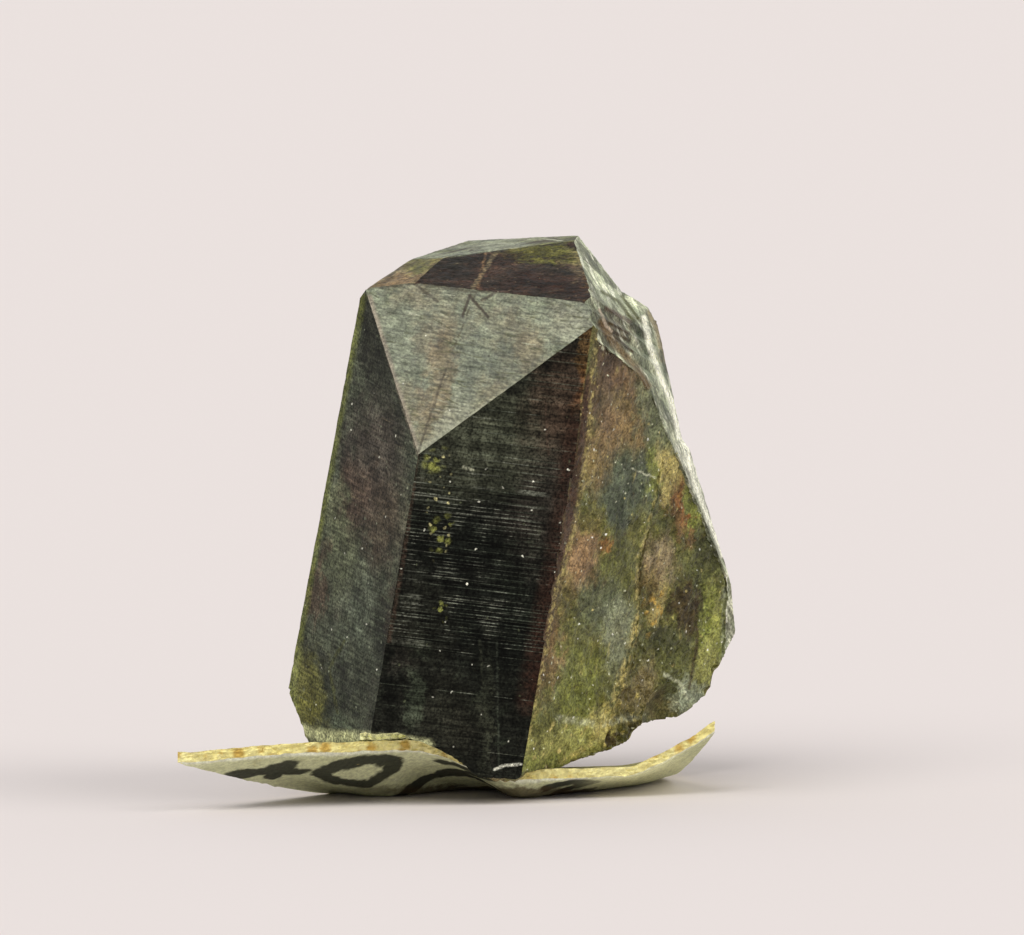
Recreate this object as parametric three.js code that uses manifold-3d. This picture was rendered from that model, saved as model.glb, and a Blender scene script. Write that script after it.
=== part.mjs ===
// A thortveitite crystal standing on the old numbered paper slip that is glued under it.
// Millimetres, Z up. The origin is on the slip's flat patch, on the surface that it rests on, below the
// crystal's middle. The crystal is a stout prism that leans to the right (+X) and towards the front (-Y).
// Its faces are flat planes: each is given by the side it looks to and how far it lies from the heart.
import * as THREE from "three";
import { mergeVertices } from "three/addons/utils/BufferGeometryUtils.js";
import Module from "manifold-3d";

const wasm = await Module();
wasm.setup();

const weldDistance = 1e-5; // points closer than this are one

// The paper slip: its corners in plan, and its thickness
const slipNearLeft = new THREE.Vector2(-8, -5.7);
const slipNearRight = new THREE.Vector2(5.39, -1.27);
const slipFarLeft = new THREE.Vector2(-1.9, 2.4);
const slipFarRight = new THREE.Vector2(3.95, 4.2);
const slipThickness = 0.25;
const slipSteps = 40;
const slipRows = 18;
const slipLength = slipNearLeft.distanceTo(slipNearRight);
const slipTurn = THREE.MathUtils.radToDeg(slipNearRight.clone().sub(slipNearLeft).angle());

// How the slip curls up along its near edge: its lift there, and how far back the curl reaches
const middleLift = 0.55;
const leftLift = { extra: 0.84, from: 6.0, to: 8.9 };
const leftDroop = { depth: 0.14, to: 3 };
const rightCurl = { from: 11.8, near: 0.36, nearPower: 1.3, far: 0.05, farPower: 1.4 };
const curlDepths = [
  [0, 6.2], [4, 3.4], [5.6, 4.6], [6.8, 4],
  [8.9, 0.9], [10.3, 1.9], [12, 3], [14.2, 3.9],
];
const curlPower = 1.2;

// Where the crystal stands, and how its long axis leans
const heart = new THREE.Vector3(-0.63, -1.28, 4.885);
const leanRight = 9.5; // degrees
const leanForward = 7.2;
const blockSize = 40; // the blocks that are taken away
const roughSize = 20; // the block that they are taken from

// Faces of the crystal. compass is the side a face looks to, in degrees from the front towards the right,
// rise is how far it looks up, and reach is its distance from the heart.
const faces = {
  leftPrism: { compass: -60, rise: 0, reach: 3.68 },
  frontPrism: { compass: 11.5, rise: 0, reach: 3.18 },
  rightPrism: { compass: 56, rise: 0, reach: 3.09 },
  backRightPrism: { compass: 99, rise: 10, reach: 7.36 },
  backPrism: { compass: 168, rise: 8.5, reach: 6.2 },
  backLeftPrism: { compass: -140, rise: 0, reach: 5.2 },
  leftRim: { compass: -104.8, rise: 1, reach: 4.04 },
  backLeftEnd: { compass: -111, rise: 30, reach: 6.86 },
  brightEnd: { compass: -27, rise: 32.5, reach: 5.86 },
  darkRoof: { compass: -52.5, rise: 76, reach: 8.33 },
  tanRoof: { compass: -77, rise: 69, reach: 8.44 },
  topStrip: { compass: -114.5, rise: 73, reach: 8.66 },
  backRoof: { compass: 158, rise: 40, reach: 8.55 },
  upperFlank: { compass: 83.5, rise: 32, reach: 6.15 },
  lowerFlank: { compass: 84.9, rise: 24.8, reach: 5.7 },
  edgeSliver: { compass: 38, rise: 1, reach: 3.44 },
};

// Notches where growth stopped in steps: what is outside both faces is missing
const notches = [
  [{ compass: 90.5, rise: 44, reach: 7.05 }, { compass: 86, rise: 69, reach: 7.83 }],
  [{ compass: 95, rise: 20, reach: 5.98 }, { compass: 86, rise: 50, reach: 5.95 }],
  [{ compass: 142, rise: 25, reach: 7.02 }, { compass: 0, rise: -90, reach: -4.3 }],
];

// The right side broke away a little behind its face. Each stretch of a break's wall runs from one height to
// another above the heart, and behind is how far the broken surface lies from the heart there.
const breakWalls = [
  { compass: 125.9, rise: -3.3, reach: 3.436, from: 1.4, to: 4.25, behind: 2.95 },
  { compass: 125.5, rise: 11.3, reach: 3.758, from: -0.18, to: 1.46, behind: 2.95 },
  { compass: 125.4, rise: -13.1, reach: 3.788, from: -roughSize, to: -0.12, behind: 2.95 },
  { compass: 128.3, rise: 13.6, reach: 7.507, from: -1.7, to: 1.5, behind: 2.84 },
];

// Thin plates that end one below the other at the front of the right shoulder
const plateCount = 4;
const plateTread = { compass: 93, rise: 51, reach: 7.56 };
const plateRiser = { compass: 70, rise: 3, reach: 2.31 };
const plateDrop = 0.18;
const plateStep = 0.25;

// The broken foot, as cuts through points of the upright frame: compass and rise as above
const restingGap = 0.03; // between the crystal and the slip
const clearBelow = 1.5; // no crystal this far below the slip
const footFlat = { compass: 0, rise: -90, at: [0, 0, slipThickness + restingGap] };
const footCuts = [
  { compass: -96, rise: -25, at: [-4.92, -1.8, 1.66] },
  { compass: 0, rise: -79, at: [0.3, -3.8, 0.64] },
  { compass: 76.6, rise: -70, at: [2.25, -1.14, 0.95] },
  { compass: 110, rise: -60, at: [5.2, 2.93, 2.03] },
  { compass: 100, rise: -30, at: [6.0, 3.56, 3.58] },
  { compass: 172, rise: -38, at: [2, 5, 1.9] },
];

// Hollows in the foot: what is beyond all the cuts of one hollow is missing
const beforeSlip = { compass: slipTurn, rise: 0, at: [slipNearLeft.x, slipNearLeft.y, 0] };
const footHollows = [
  [
    { compass: 10, rise: -85, at: [-2.25, -4.4, 1.84] },
    { compass: -119.5, rise: -60, at: [-2.25, -4.38, 1.71] },
    { compass: -101.6, rise: -50, at: [-0.52, -3.87, 0.69] },
    beforeSlip,
  ],
  [
    { compass: 59, rise: -80, at: [0.75, -3.35, 0.77] },
    { compass: 87, rise: -50, at: [0.52, -3.64, 0.62] },
  ],
  [
    { compass: 75.5, rise: -80, at: [3.58, 0.64, 1.55] },
    { compass: 94, rise: -40, at: [3.3, 0.36, 1.2] },
  ],
];

// A shell-shaped break at the foot of the right side: where its ball sits, and the ball's radius
const ballColumns = 64;
const ballRows = 40;
const shellBreak = { compass: 56, away: 3.72, height: -2.65, shift: 4.9, radius: 1.15 };

function directionOf(compass, rise) {
  const turn = THREE.MathUtils.degToRad(compass);
  const lift = THREE.MathUtils.degToRad(rise);
  return new THREE.Vector3(
    Math.sin(turn) * Math.cos(lift),
    -Math.cos(turn) * Math.cos(lift),
    Math.sin(lift),
  );
}

const lean = new THREE.Quaternion().setFromEuler(
  new THREE.Euler(THREE.MathUtils.degToRad(leanForward), THREE.MathUtils.degToRad(leanRight), 0, "XYZ"),
);

// A three.js shape as a solid that can be joined and cut
function solidFrom(geometry) {
  const bare = geometry.index ? geometry.toNonIndexed() : geometry.clone();
  bare.deleteAttribute("normal");
  bare.deleteAttribute("uv");
  const merged = mergeVertices(bare, weldDistance);
  return new wasm.Manifold(
    new wasm.Mesh({
      numProp: 3,
      vertProperties: new Float32Array(merged.attributes.position.array),
      triVerts: new Uint32Array(merged.index.array),
    }),
  );
}

function geometryFrom(solid) {
  const mesh = solid.getMesh();
  const geometry = new THREE.BufferGeometry();
  geometry.setAttribute("position", new THREE.BufferAttribute(new Float32Array(mesh.vertProperties), 3));
  geometry.setIndex(new THREE.BufferAttribute(new Uint32Array(mesh.triVerts), 1));
  const flat = geometry.toNonIndexed();
  flat.computeVertexNormals();
  return flat;
}

// Everything on the far side of a plane through point, as a block with one side on that plane
function blockBeyond(normal, point) {
  const block = new THREE.BoxGeometry(blockSize, blockSize, blockSize);
  block.translate(0, 0, blockSize / 2);
  block.applyQuaternion(new THREE.Quaternion().setFromUnitVectors(new THREE.Vector3(0, 0, 1), normal));
  block.translate(point.x, point.y, point.z);
  return solidFrom(block);
}

// Everything outside one face of the crystal
function outside({ compass, rise, reach }) {
  const normal = directionOf(compass, rise).applyQuaternion(lean);
  return blockBeyond(normal, heart.clone().addScaledVector(normal, reach));
}

// Everything below one cut of the foot
function below({ compass, rise, at }) {
  return blockBeyond(directionOf(compass, rise), new THREE.Vector3(...at));
}

// A ball whose shell leaves a smooth hollow in the side that looks to compass
function breakBall({ compass, away, height, shift, radius }) {
  const out = directionOf(compass, 0);
  const along = directionOf(compass + 90, 0);
  const centre = out.multiplyScalar(away).addScaledVector(along, shift);
  centre.z = height;
  centre.applyQuaternion(lean).add(heart);
  const ball = new THREE.SphereGeometry(radius, ballColumns, ballRows);
  ball.translate(centre.x, centre.y, centre.z);
  return solidFrom(ball);
}

// What is missing beside one stretch of the break's wall
function brokenAway(wall) {
  const above = outside({ compass: 0, rise: 90, reach: wall.from });
  const under = outside({ compass: 0, rise: -90, reach: -wall.to });
  const before = outside({ ...faces.rightPrism, reach: wall.behind });
  return wasm.Manifold.intersection([before, outside(wall), above, under]);
}

function makeCrystalSolid() {
  const rough = new THREE.BoxGeometry(roughSize, roughSize, roughSize);
  rough.translate(heart.x, heart.y, heart.z);
  let crystal = solidFrom(rough);
  for (const face of Object.values(faces)) {
    crystal = crystal.subtract(outside(face));
  }
  for (const [first, second] of notches) {
    crystal = crystal.subtract(outside(first).intersect(outside(second)));
  }
  for (const wall of breakWalls) {
    crystal = crystal.subtract(brokenAway(wall));
  }
  for (let plate = 0; plate < plateCount; plate += 1) {
    const tread = { ...plateTread, reach: plateTread.reach - plate * plateDrop };
    const riser = { ...plateRiser, reach: plateRiser.reach + plate * plateStep };
    crystal = crystal.subtract(outside(tread).intersect(outside(riser)));
  }
  crystal = crystal.subtract(breakBall(shellBreak));
  for (const cut of [footFlat, ...footCuts]) {
    crystal = crystal.subtract(below(cut));
  }
  for (const hollow of footHollows) {
    crystal = crystal.subtract(wasm.Manifold.intersection(hollow.map(below)));
  }
  return crystal.subtract(solidFrom(makeSlipSheet(-clearBelow, slipThickness + restingGap)));
}

function makeCrystal() {
  const mesh = new THREE.Mesh(
    geometryFrom(makeCrystalSolid()),
    new THREE.MeshStandardMaterial({ color: 0x3b3a33, roughness: 0.32, metalness: 0 }),
  );
  mesh.name = "crystal";
  return mesh;
}

function ease(value, from, to) {
  return THREE.MathUtils.smoothstep(value, from, to);
}

function pastRightCurl(along) {
  return Math.max(along - rightCurl.from, 0);
}

// Height of the slip's underside at its near edge, by the distance along that edge
function nearLift(along) {
  const left = leftLift.extra * (1 - ease(along, leftLift.from, leftLift.to));
  const droop = leftDroop.depth * (1 - ease(along, 0, leftDroop.to));
  return middleLift + left - droop + rightCurl.near * Math.pow(pastRightCurl(along), rightCurl.nearPower);
}

// Height of the slip's underside behind its front curl
function lowLift(along) {
  return rightCurl.far * Math.pow(pastRightCurl(along), rightCurl.farPower);
}

// How far back from the near edge the slip's front curl ends
function curlDepth(along) {
  const next = curlDepths.findIndex(([place]) => place >= along);
  const [to, toDepth] = curlDepths[Math.max(next, 1)];
  const [from, fromDepth] = curlDepths[Math.max(next, 1) - 1];
  return THREE.MathUtils.lerp(fromDepth, toDepth, ease(along, from, to));
}

function slipHeight(along, across) {
  const share = THREE.MathUtils.clamp(1 - across / curlDepth(along), 0, 1);
  return lowLift(along) + (nearLift(along) - lowLift(along)) * Math.pow(share, curlPower);
}

// A point of the slip's underside, by its shares of the way to the right and to the back
function slipPoint(right, back, lift) {
  const near = slipNearLeft.clone().lerp(slipNearRight, right);
  const far = slipFarLeft.clone().lerp(slipFarRight, right);
  const place = near.clone().lerp(far, back);
  const height = slipHeight(right * slipLength, place.distanceTo(near));
  return new THREE.Vector3(place.x, place.y, height + lift);
}

// A closed sheet that follows the slip's curl between two offsets from its underside: one grid of points,
// wrapped round the lower and the upper side
function makeSlipSheet(lower, upper) {
  const points = [];
  const triangles = [];
  const ring = 2 * (slipRows + 1);
  for (let step = 0; step <= slipSteps; step += 1) {
    for (let row = 0; row <= slipRows; row += 1) {
      points.push(slipPoint(step / slipSteps, row / slipRows, lower));
    }
    for (let row = slipRows; row >= 0; row -= 1) {
      points.push(slipPoint(step / slipSteps, row / slipRows, upper));
    }
  }
  for (let step = 0; step < slipSteps; step += 1) {
    for (let side = 0; side < ring; side += 1) {
      const here = step * ring + side;
      const next = step * ring + ((side + 1) % ring);
      triangles.push(here, next, here + ring, next, next + ring, here + ring);
    }
  }
  for (let row = 0; row < slipRows; row += 1) {
    const low = row;
    const high = ring - 1 - row;
    const end = slipSteps * ring;
    triangles.push(low, high, low + 1, low + 1, high, high - 1);
    triangles.push(end + low, end + low + 1, end + high, end + low + 1, end + high - 1, end + high);
  }
  const geometry = new THREE.BufferGeometry().setFromPoints(points);
  geometry.setIndex(triangles);
  geometry.computeVertexNormals();
  return geometry;
}

function makePaperLabel() {
  const mesh = new THREE.Mesh(
    makeSlipSheet(0, slipThickness),
    new THREE.MeshStandardMaterial({ color: 0xd8d3ae, roughness: 0.85, metalness: 0 }),
  );
  mesh.name = "paper_label";
  return mesh;
}

const part = new THREE.Group();
part.add(makeCrystal());
part.add(makePaperLabel());
export default part;
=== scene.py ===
import math
import random

import bmesh
import bpy
import numpy as np
from mathutils import Euler, Matrix, Vector, noise


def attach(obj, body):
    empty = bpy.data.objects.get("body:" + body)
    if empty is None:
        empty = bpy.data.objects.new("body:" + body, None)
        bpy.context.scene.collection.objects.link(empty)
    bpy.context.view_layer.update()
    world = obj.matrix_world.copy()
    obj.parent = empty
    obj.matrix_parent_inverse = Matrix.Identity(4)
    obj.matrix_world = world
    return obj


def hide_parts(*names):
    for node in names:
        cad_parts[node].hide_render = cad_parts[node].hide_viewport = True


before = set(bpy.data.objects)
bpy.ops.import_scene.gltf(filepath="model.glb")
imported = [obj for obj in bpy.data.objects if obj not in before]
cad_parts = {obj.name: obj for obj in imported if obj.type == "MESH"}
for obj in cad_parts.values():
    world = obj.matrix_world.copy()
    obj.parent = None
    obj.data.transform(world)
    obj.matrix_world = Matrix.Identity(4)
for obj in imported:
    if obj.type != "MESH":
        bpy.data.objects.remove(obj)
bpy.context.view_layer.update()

print("frame loaded")

mmPerMetre = 1000
mergeDistance = 0.0005  # mm
cutTolerance = 1e-6
mostHalvings = 9
nodesApart = (200, 250)
nodeRows = 4


def tone(red, green, blue):
    # a colour as it is seen on a screen, 0 to 255, as the light that Blender works with
    def straight(value):
        share = value / 255
        return share / 12.92 if share <= 0.04045 else ((share + 0.055) / 1.055) ** 2.4

    return (straight(red), straight(green), straight(blue), 1.0)


def deselectAll():
    if bpy.context.mode != "OBJECT":
        bpy.ops.object.mode_set(mode="OBJECT")
    bpy.ops.object.select_all(action="DESELECT")


def pickOnly(piece):
    deselectAll()
    piece.select_set(True)
    bpy.context.view_layer.objects.active = piece


def copyOfNode(nodeName, pieceName):
    # a merged copy of a CAD node's mesh, in millimetres while it is worked on
    piece = bpy.data.objects.new(pieceName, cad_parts[nodeName].data.copy())
    piece.data.name = pieceName
    bpy.context.scene.collection.objects.link(piece)
    piece.data.transform(Matrix.Scale(mmPerMetre, 4))
    piece.data.materials.clear()
    pickOnly(piece)
    bpy.ops.object.mode_set(mode="EDIT")
    bpy.ops.mesh.select_all(action="SELECT")
    bpy.ops.mesh.remove_doubles(threshold=mergeDistance)
    bpy.ops.mesh.customdata_custom_splitnormals_clear()
    bpy.ops.object.mode_set(mode="OBJECT")
    return piece


def handOver(piece, smoothAngle):
    # back to metres, with soft shading over all but the sharp edges
    piece.data.transform(Matrix.Scale(1 / mmPerMetre, 4))
    pickOnly(piece)
    bpy.ops.object.shade_smooth_by_angle(angle=math.radians(smoothAngle))


def pointsOf(piece):
    points = np.empty(len(piece.data.vertices) * 3)
    piece.data.vertices.foreach_get("co", points)
    return points.reshape(-1, 3)


def setPoints(piece, points):
    piece.data.vertices.foreach_set("co", points.ravel())
    piece.data.update()


def storeOnPoints(piece, name, values):
    layer = piece.data.attributes.new(name, "FLOAT", "POINT")
    layer.data.foreach_set("value", np.asarray(values, np.float32))


def smoothStep(value, low, high):
    share = np.clip((value - low) / (high - low), 0, 1)
    return share * share * (3 - 2 * share)


def wave(points, size, seed, octaves=3):
    # soft random height of about -1 to 1 at each point; size is the width of one hill
    smoothness, finer = 0.9, 2.0
    shift = Vector((seed * 7.13, seed * 3.71, seed * 5.37))
    return np.array([noise.fractal(Vector(p) / size + shift, smoothness, finer, octaves) for p in points])


def direction(compass, rise):
    # compass is counted in degrees from the camera's side towards the right, rise is how far it looks up
    turn, lift = math.radians(compass), math.radians(rise)
    return Vector((math.sin(turn) * math.cos(lift), -math.cos(turn) * math.cos(lift), math.sin(lift)))


def connect(tree, made, takes):
    # gives a node's inputs, by name or number, what they take: a socket is linked, any other value is set
    for name, value in takes.items():
        if isinstance(value, bpy.types.NodeSocket):
            tree.links.new(value, made.inputs[name])
        else:
            made.inputs[name].default_value = value


def addNode(tree, kind, takes=None, **settings):
    # the nodes stand from left to right, in a few rows
    made = tree.nodes.new(kind if kind.startswith("NodeGroup") else "ShaderNode" + kind)
    across, down = nodesApart
    made.location = (across * len(tree.nodes), -down * (len(tree.nodes) % nodeRows))
    for name, value in settings.items():
        setattr(made, name, value)
    connect(tree, made, takes or {})
    return made


def mathNode(tree, operation, first, second, clamp=False):
    return addNode(tree, "Math", {0: first, 1: second}, operation=operation, use_clamp=clamp).outputs[0]


def vectorNode(tree, operation, first, second=None):
    takes = {0: first}
    if second is not None:
        takes["Scale" if operation == "SCALE" else 1] = second
    made = addNode(tree, "VectorMath", takes, operation=operation)
    return made.outputs["Value" if operation in ("LENGTH", "DOT_PRODUCT") else "Vector"]


def rangeNode(tree, value, low, high, atLow=0, atHigh=1, kind="SMOOTHSTEP"):
    # runs from atLow to atHigh while the value runs from low to high
    takes = {"Value": value, "From Min": low, "From Max": high, "To Min": atLow, "To Max": atHigh}
    return addNode(tree, "MapRange", takes, interpolation_type=kind).outputs["Result"]


def mixNode(tree, share, first, second):
    return addNode(tree, "Mix", {"Factor": share, "A": first, "B": second}, data_type="RGBA").outputs["Result"]


studio = {
    "target": (0.0003, 0.0, 0.008118),
    "elevation": 5,  # degrees above the floor
    "distance": 0.7111,
    "lens": 1000,
    "sensor": 36,
    "floorColour": tone(227, 219, 218),
    "backdropColour": tone(231, 223, 222),
    "floorSize": 8,
    "floorRoughness": 0.95,
    "brightSide": (0.25, 1.0, 0.1),  # the way to the brightest part of the room
    "roomLight": [(0.35, (0.44, 0.44, 0.44, 1)), (0.97, (0.87, 0.87, 0.84, 1))],  # away from it, and there
    "lamps": [  # name, compass, rise, width in degrees, strength, colour
        ("key", -32, 50, 40, 1.6, (1.0, 0.99, 0.97)),
        ("fill", 72, 42, 36, 0.85, (1.0, 0.985, 0.93)),
    ],
    "pixelsPerMm": 40,  # in the photograph's frame
    "originAt": (500, 791),  # where the origin is seen in it
}


def makeCamera():
    lens = bpy.data.cameras.new("camera")
    lens.lens = studio["lens"]
    lens.sensor_width = studio["sensor"]
    camera = bpy.data.objects.new("camera", lens)
    bpy.context.scene.collection.objects.link(camera)
    back = direction(0, studio["elevation"])
    camera.location = Vector(studio["target"]) + back * studio["distance"]
    camera.rotation_euler = (-back).to_track_quat("-Z", "Y").to_euler()
    bpy.context.scene.camera = camera


def makeLamps():
    for name, compass, rise, width, strength, colour in studio["lamps"]:
        sun = bpy.data.lights.new(name, "SUN")
        sun.energy = strength
        sun.angle = math.radians(width)
        sun.color = colour
        lamp = bpy.data.objects.new(name, sun)
        bpy.context.scene.collection.objects.link(lamp)
        lamp.rotation_euler = direction(compass, rise).to_track_quat("Z", "Y").to_euler()


def makeWorld():
    # the room's soft light, and the plain backdrop that the camera sees in its place
    world = bpy.data.worlds.new("studio")
    bpy.context.scene.world = world
    world.use_nodes = True
    tree = world.node_tree
    tree.nodes.clear()
    towards = addNode(tree, "TexCoord").outputs["Generated"]
    side = vectorNode(tree, "DOT_PRODUCT", towards, Vector(studio["brightSide"]).normalized())
    ramp = addNode(tree, "ValToRGB", {"Fac": side})
    for stop, (position, colour) in zip(ramp.color_ramp.elements, studio["roomLight"]):
        stop.position = position
        stop.color = colour
    seen = addNode(tree, "LightPath").outputs["Is Camera Ray"]
    colour = mixNode(tree, seen, ramp.outputs["Color"], studio["backdropColour"])
    light = addNode(tree, "Background", {"Color": colour})
    addNode(tree, "OutputWorld", {"Surface": light.outputs["Background"]})


def makeFloor():
    deselectAll()
    bpy.ops.mesh.primitive_plane_add(size=studio["floorSize"], location=(0, 0, 0))
    floor = bpy.context.object
    floor.name = "floor"
    paint = bpy.data.materials.new("floor_paint")
    paint.use_nodes = True
    shader = paint.node_tree.nodes["Principled BSDF"]
    shader.inputs["Base Color"].default_value = studio["floorColour"]
    shader.inputs["Roughness"].default_value = studio["floorRoughness"]
    shader.inputs["Specular IOR Level"].default_value = 0.0
    floor.data.materials.append(paint)


makeCamera()
makeWorld()
makeFloor()
makeLamps()
bpy.context.scene.view_settings.view_transform = "Standard"
print("studio ready")


crystalPlan = {
    "heart": Vector((-0.63, -1.28, 4.885)),  # mm, as in the CAD
    "leanRight": 9.5,  # degrees
    "leanForward": 7.2,
    # compass, rise and reach of the flat faces of each finish; where two fit, the later one holds
    "faces": {
        "left": [(-60, 0, 3.68)], "front": [(11.5, 0, 3.18)], "right": [(56, 0, 3.09)], "sliver": [(38, 1, 3.44)],
        "bright": [(-27, 32.5, 5.86)], "darkRoof": [(-52.5, 76, 8.33)], "tanRoof": [(-77, 69, 8.44)],
        "topStrip": [(-114.5, 73, 8.66)], "rim": [(-104.8, 1, 4.04), (-111, 30, 6.86)],
        "back": [
            (99, 10, 7.36), (168, 8.5, 6.2), (-140, 0, 5.2), (158, 40, 8.55), (142, 25, 7.02), (0, -90, -4.3),
        ],
        "flank": [
            (83.5, 32, 6.15), (84.9, 24.8, 5.7), (90.5, 44, 7.05), (86, 69, 7.83), (95, 20, 5.98), (86, 50, 5.95),
            (93, 51, 7.56), (93, 51, 7.38), (93, 51, 7.20), (93, 51, 7.02),
            (70, 3, 2.31), (70, 3, 2.56), (70, 3, 2.81), (70, 3, 3.06),
        ],
        "broken": [(56, 0, 2.95)], "flake": [(56, 0, 2.84)],
        "breakWall": [
            (125.9, -3.3, 3.436), (125.5, 11.3, 3.758), (125.4, -13.1, 3.788), (128.3, 13.6, 7.507),
            (0, -90, -4.25), (0, 90, -1.7), (0, -90, -1.5), (0, 90, 1.4), (0, -90, -1.46), (0, 90, -0.18),
            (0, -90, 0.12),
        ],
    },
    "shellBreak": (56, 3.72, -2.65, 4.9, 1.15),  # compass, away, height, shift and radius of its ball
    "onPlane": 0.02,  # a mesh face this near to a flat face's plane, in mm, is part of it
    "onBall": 0.03,
    "sameWay": 0.995,  # if it also looks the same way: the least cosine between the two
    "flattened": 0.3,  # degrees; the CAD's triangles on one flat face are joined first
    # the finishes, and the longest edge of the mesh in each, mm
    "meshSize": {
        "left": 0.24, "front": 0.22, "right": 0.13, "sliver": 0.14, "bright": 0.17, "darkRoof": 0.16,
        "tanRoof": 0.14, "topStrip": 0.16, "flank": 0.13, "rim": 0.3, "back": 0.34, "broken": 0.12,
        "flake": 0.11, "breakWall": 0.11, "shell": 0.1, "foot": 0.17, "footBehind": 0.24,
        "frontLedge": 0.22, "leftLedge": 0.24,
    },
    "ledge": 0.02,  # height of the small step at a growth line, mm
    "growthSeed": 11,
    "terraceSeed": 29,
    "smoothAngle": 22,  # degrees; sharper edges stay sharp
    # stretches of growth lines: from and to what height, and the finest and widest gap between two, mm
    "growthLines": {
        "front": [
            (-5.2, -0.4, 0.6, 1.5), (-0.4, 0.9, 0.07, 0.13), (1.0, 1.7, 0.1, 0.2), (1.8, 2.2, 0.15, 0.3),
            (2.25, 3.15, 0.07, 0.13), (3.27, 3.8, 0.07, 0.13), (3.9, 7.8, 0.12, 0.4),
        ],
        "left": [(-5.2, 7.6, 0.12, 0.45)],
    },
    "terraces": {"front": 0.03, "left": 0.018},  # how deep they may lie between the growth lines, mm
    "shallow": 1.6,  # above 1, so that most of them lie shallower than half of that
    "terraceFade": (1.3, 3, 2),  # the wave that they fade by: width in mm, seed and octaves
    "fadeUp": 0.6,  # heights count for less in it, so that its hills stretch upwards
    "leastTerrace": 0.1,  # the share of a terrace that stays where it has faded
    "waves": [(1.1, 1), (0.4, 5), (0.14, 8)],  # large, middle and small: width in mm, and seed
    # how far each other finish is worn back, mm: evenly, and by the large, the middle and the small waves
    "relief": {
        "right": (0.06, 0.04, 0.055, 0.035), "broken": (0.09, 0, 0.08, 0.055), "breakWall": (0.04, 0, 0.05, 0.03),
        "flake": (0.01, 0, 0.01, 0), "bright": (0.006, 0.004, 0, 0.002), "darkRoof": (0.012, 0.008, 0, 0.008),
        "tanRoof": (0.012, 0.008, 0, 0.006), "topStrip": (0.012, 0.008, 0, 0.008),
        "sliver": (0.015, 0, 0.015, 0.01), "flank": (0.018, 0, 0.012, 0.012), "rim": (0.012, 0, 0.012, 0),
        "back": (0.03, 0.025, 0, 0), "shell": (0.01, 0, 0.01, 0), "foot": (0.06, 0, 0.05, 0.045),
    },
}
finishes = list(crystalPlan["meshSize"])
heart = crystalPlan["heart"]
leanForward = Euler((math.radians(crystalPlan["leanForward"]), 0, 0)).to_matrix()
leanRight = Euler((0, math.radians(crystalPlan["leanRight"]), 0)).to_matrix()
lean = leanForward @ leanRight
up = lean @ Vector((0, 0, 1))


def nameFaces(piece):
    # gives every face of the mesh the finish of the crystal face that it lies in
    planes = [
        (lean @ direction(compass, rise), reach, finish)
        for finish, flatFaces in crystalPlan["faces"].items() for compass, rise, reach in flatFaces
    ]
    compass, away, height, shift, radius = crystalPlan["shellBreak"]
    out, side = lean @ direction(compass, 0), lean @ direction(compass + 90, 0)
    ball = out * away + side * shift + lean @ Vector((0, 0, height)) + heart
    for finish in finishes:
        piece.data.materials.append(bpy.data.materials.new(finish))
    for polygon in piece.data.polygons:
        fromHeart = polygon.center - heart
        found = "footBehind" if polygon.normal.y > 0 else "foot"
        if abs((polygon.center - ball).length - radius) < crystalPlan["onBall"]:
            found = "shell"
        for normal, reach, finish in planes:
            near = abs(normal.dot(fromHeart) - reach) < crystalPlan["onPlane"]
            if near and polygon.normal.dot(normal) > crystalPlan["sameWay"]:
                found = finish
        polygon.material_index = finishes.index(found)


def cutAcross(piece, finish, point, normal):
    bpy.ops.mesh.select_all(action="DESELECT")
    piece.active_material_index = finishes.index(finish)
    bpy.ops.object.material_slot_select()
    bpy.ops.mesh.bisect(plane_co=point, plane_no=normal, threshold=cutTolerance)


def splitLongEdges(piece, sizes):
    # halves every edge that is longer than the finest face beside it allows, until none is
    for turn in range(mostHalvings):
        bpy.ops.object.mode_set(mode="EDIT")
        bpy.ops.mesh.select_all(action="DESELECT")
        mesh = bmesh.from_edit_mesh(piece.data)
        mesh.select_mode = {"EDGE"}
        count = 0
        for edge in mesh.edges:
            limit = min((sizes[face.material_index] for face in edge.link_faces), default=math.inf)
            if edge.calc_length() > limit:
                edge.select = True
                count += 1
        mesh.select_flush_mode()
        bmesh.update_edit_mesh(piece.data)
        if count:
            bpy.ops.mesh.subdivide(number_cuts=1)
            bpy.ops.mesh.select_all(action="SELECT")
            bpy.ops.mesh.quads_convert_to_tris(quad_method="SHORTEST_DIAGONAL", ngon_method="BEAUTY")
        bpy.ops.object.mode_set(mode="OBJECT")
        if not count:
            break


growth = random.Random(crystalPlan["growthSeed"])


def growthLevels(stretches):
    # heights of the growth lines: in each stretch they lie a random step apart, finest to widest
    levels = []
    for low, high, finest, widest in stretches:
        level = low
        while level < high:
            levels.append(level)
            level += growth.uniform(finest, widest)
    return levels


levels = {finish: growthLevels(stretches) for finish, stretches in crystalPlan["growthLines"].items()}


def cutGrowthLines(piece):
    bpy.context.tool_settings.mesh_select_mode = (False, False, True)
    bpy.ops.object.mode_set(mode="EDIT")
    for finish, heights in levels.items():
        for height in heights:
            for edge in (0, crystalPlan["ledge"]):
                cutAcross(piece, finish, heart + up * (height + edge), up)
    bpy.ops.object.mode_set(mode="OBJECT")
    for polygon in piece.data.polygons:
        finish = finishes[polygon.material_index]
        if finish not in levels:
            continue
        place = up.dot(polygon.center - heart)
        below = max((height for height in levels[finish] if height < place), default=-math.inf)
        if place - below < crystalPlan["ledge"]:
            polygon.material_index = finishes.index(finish + "Ledge")


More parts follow.
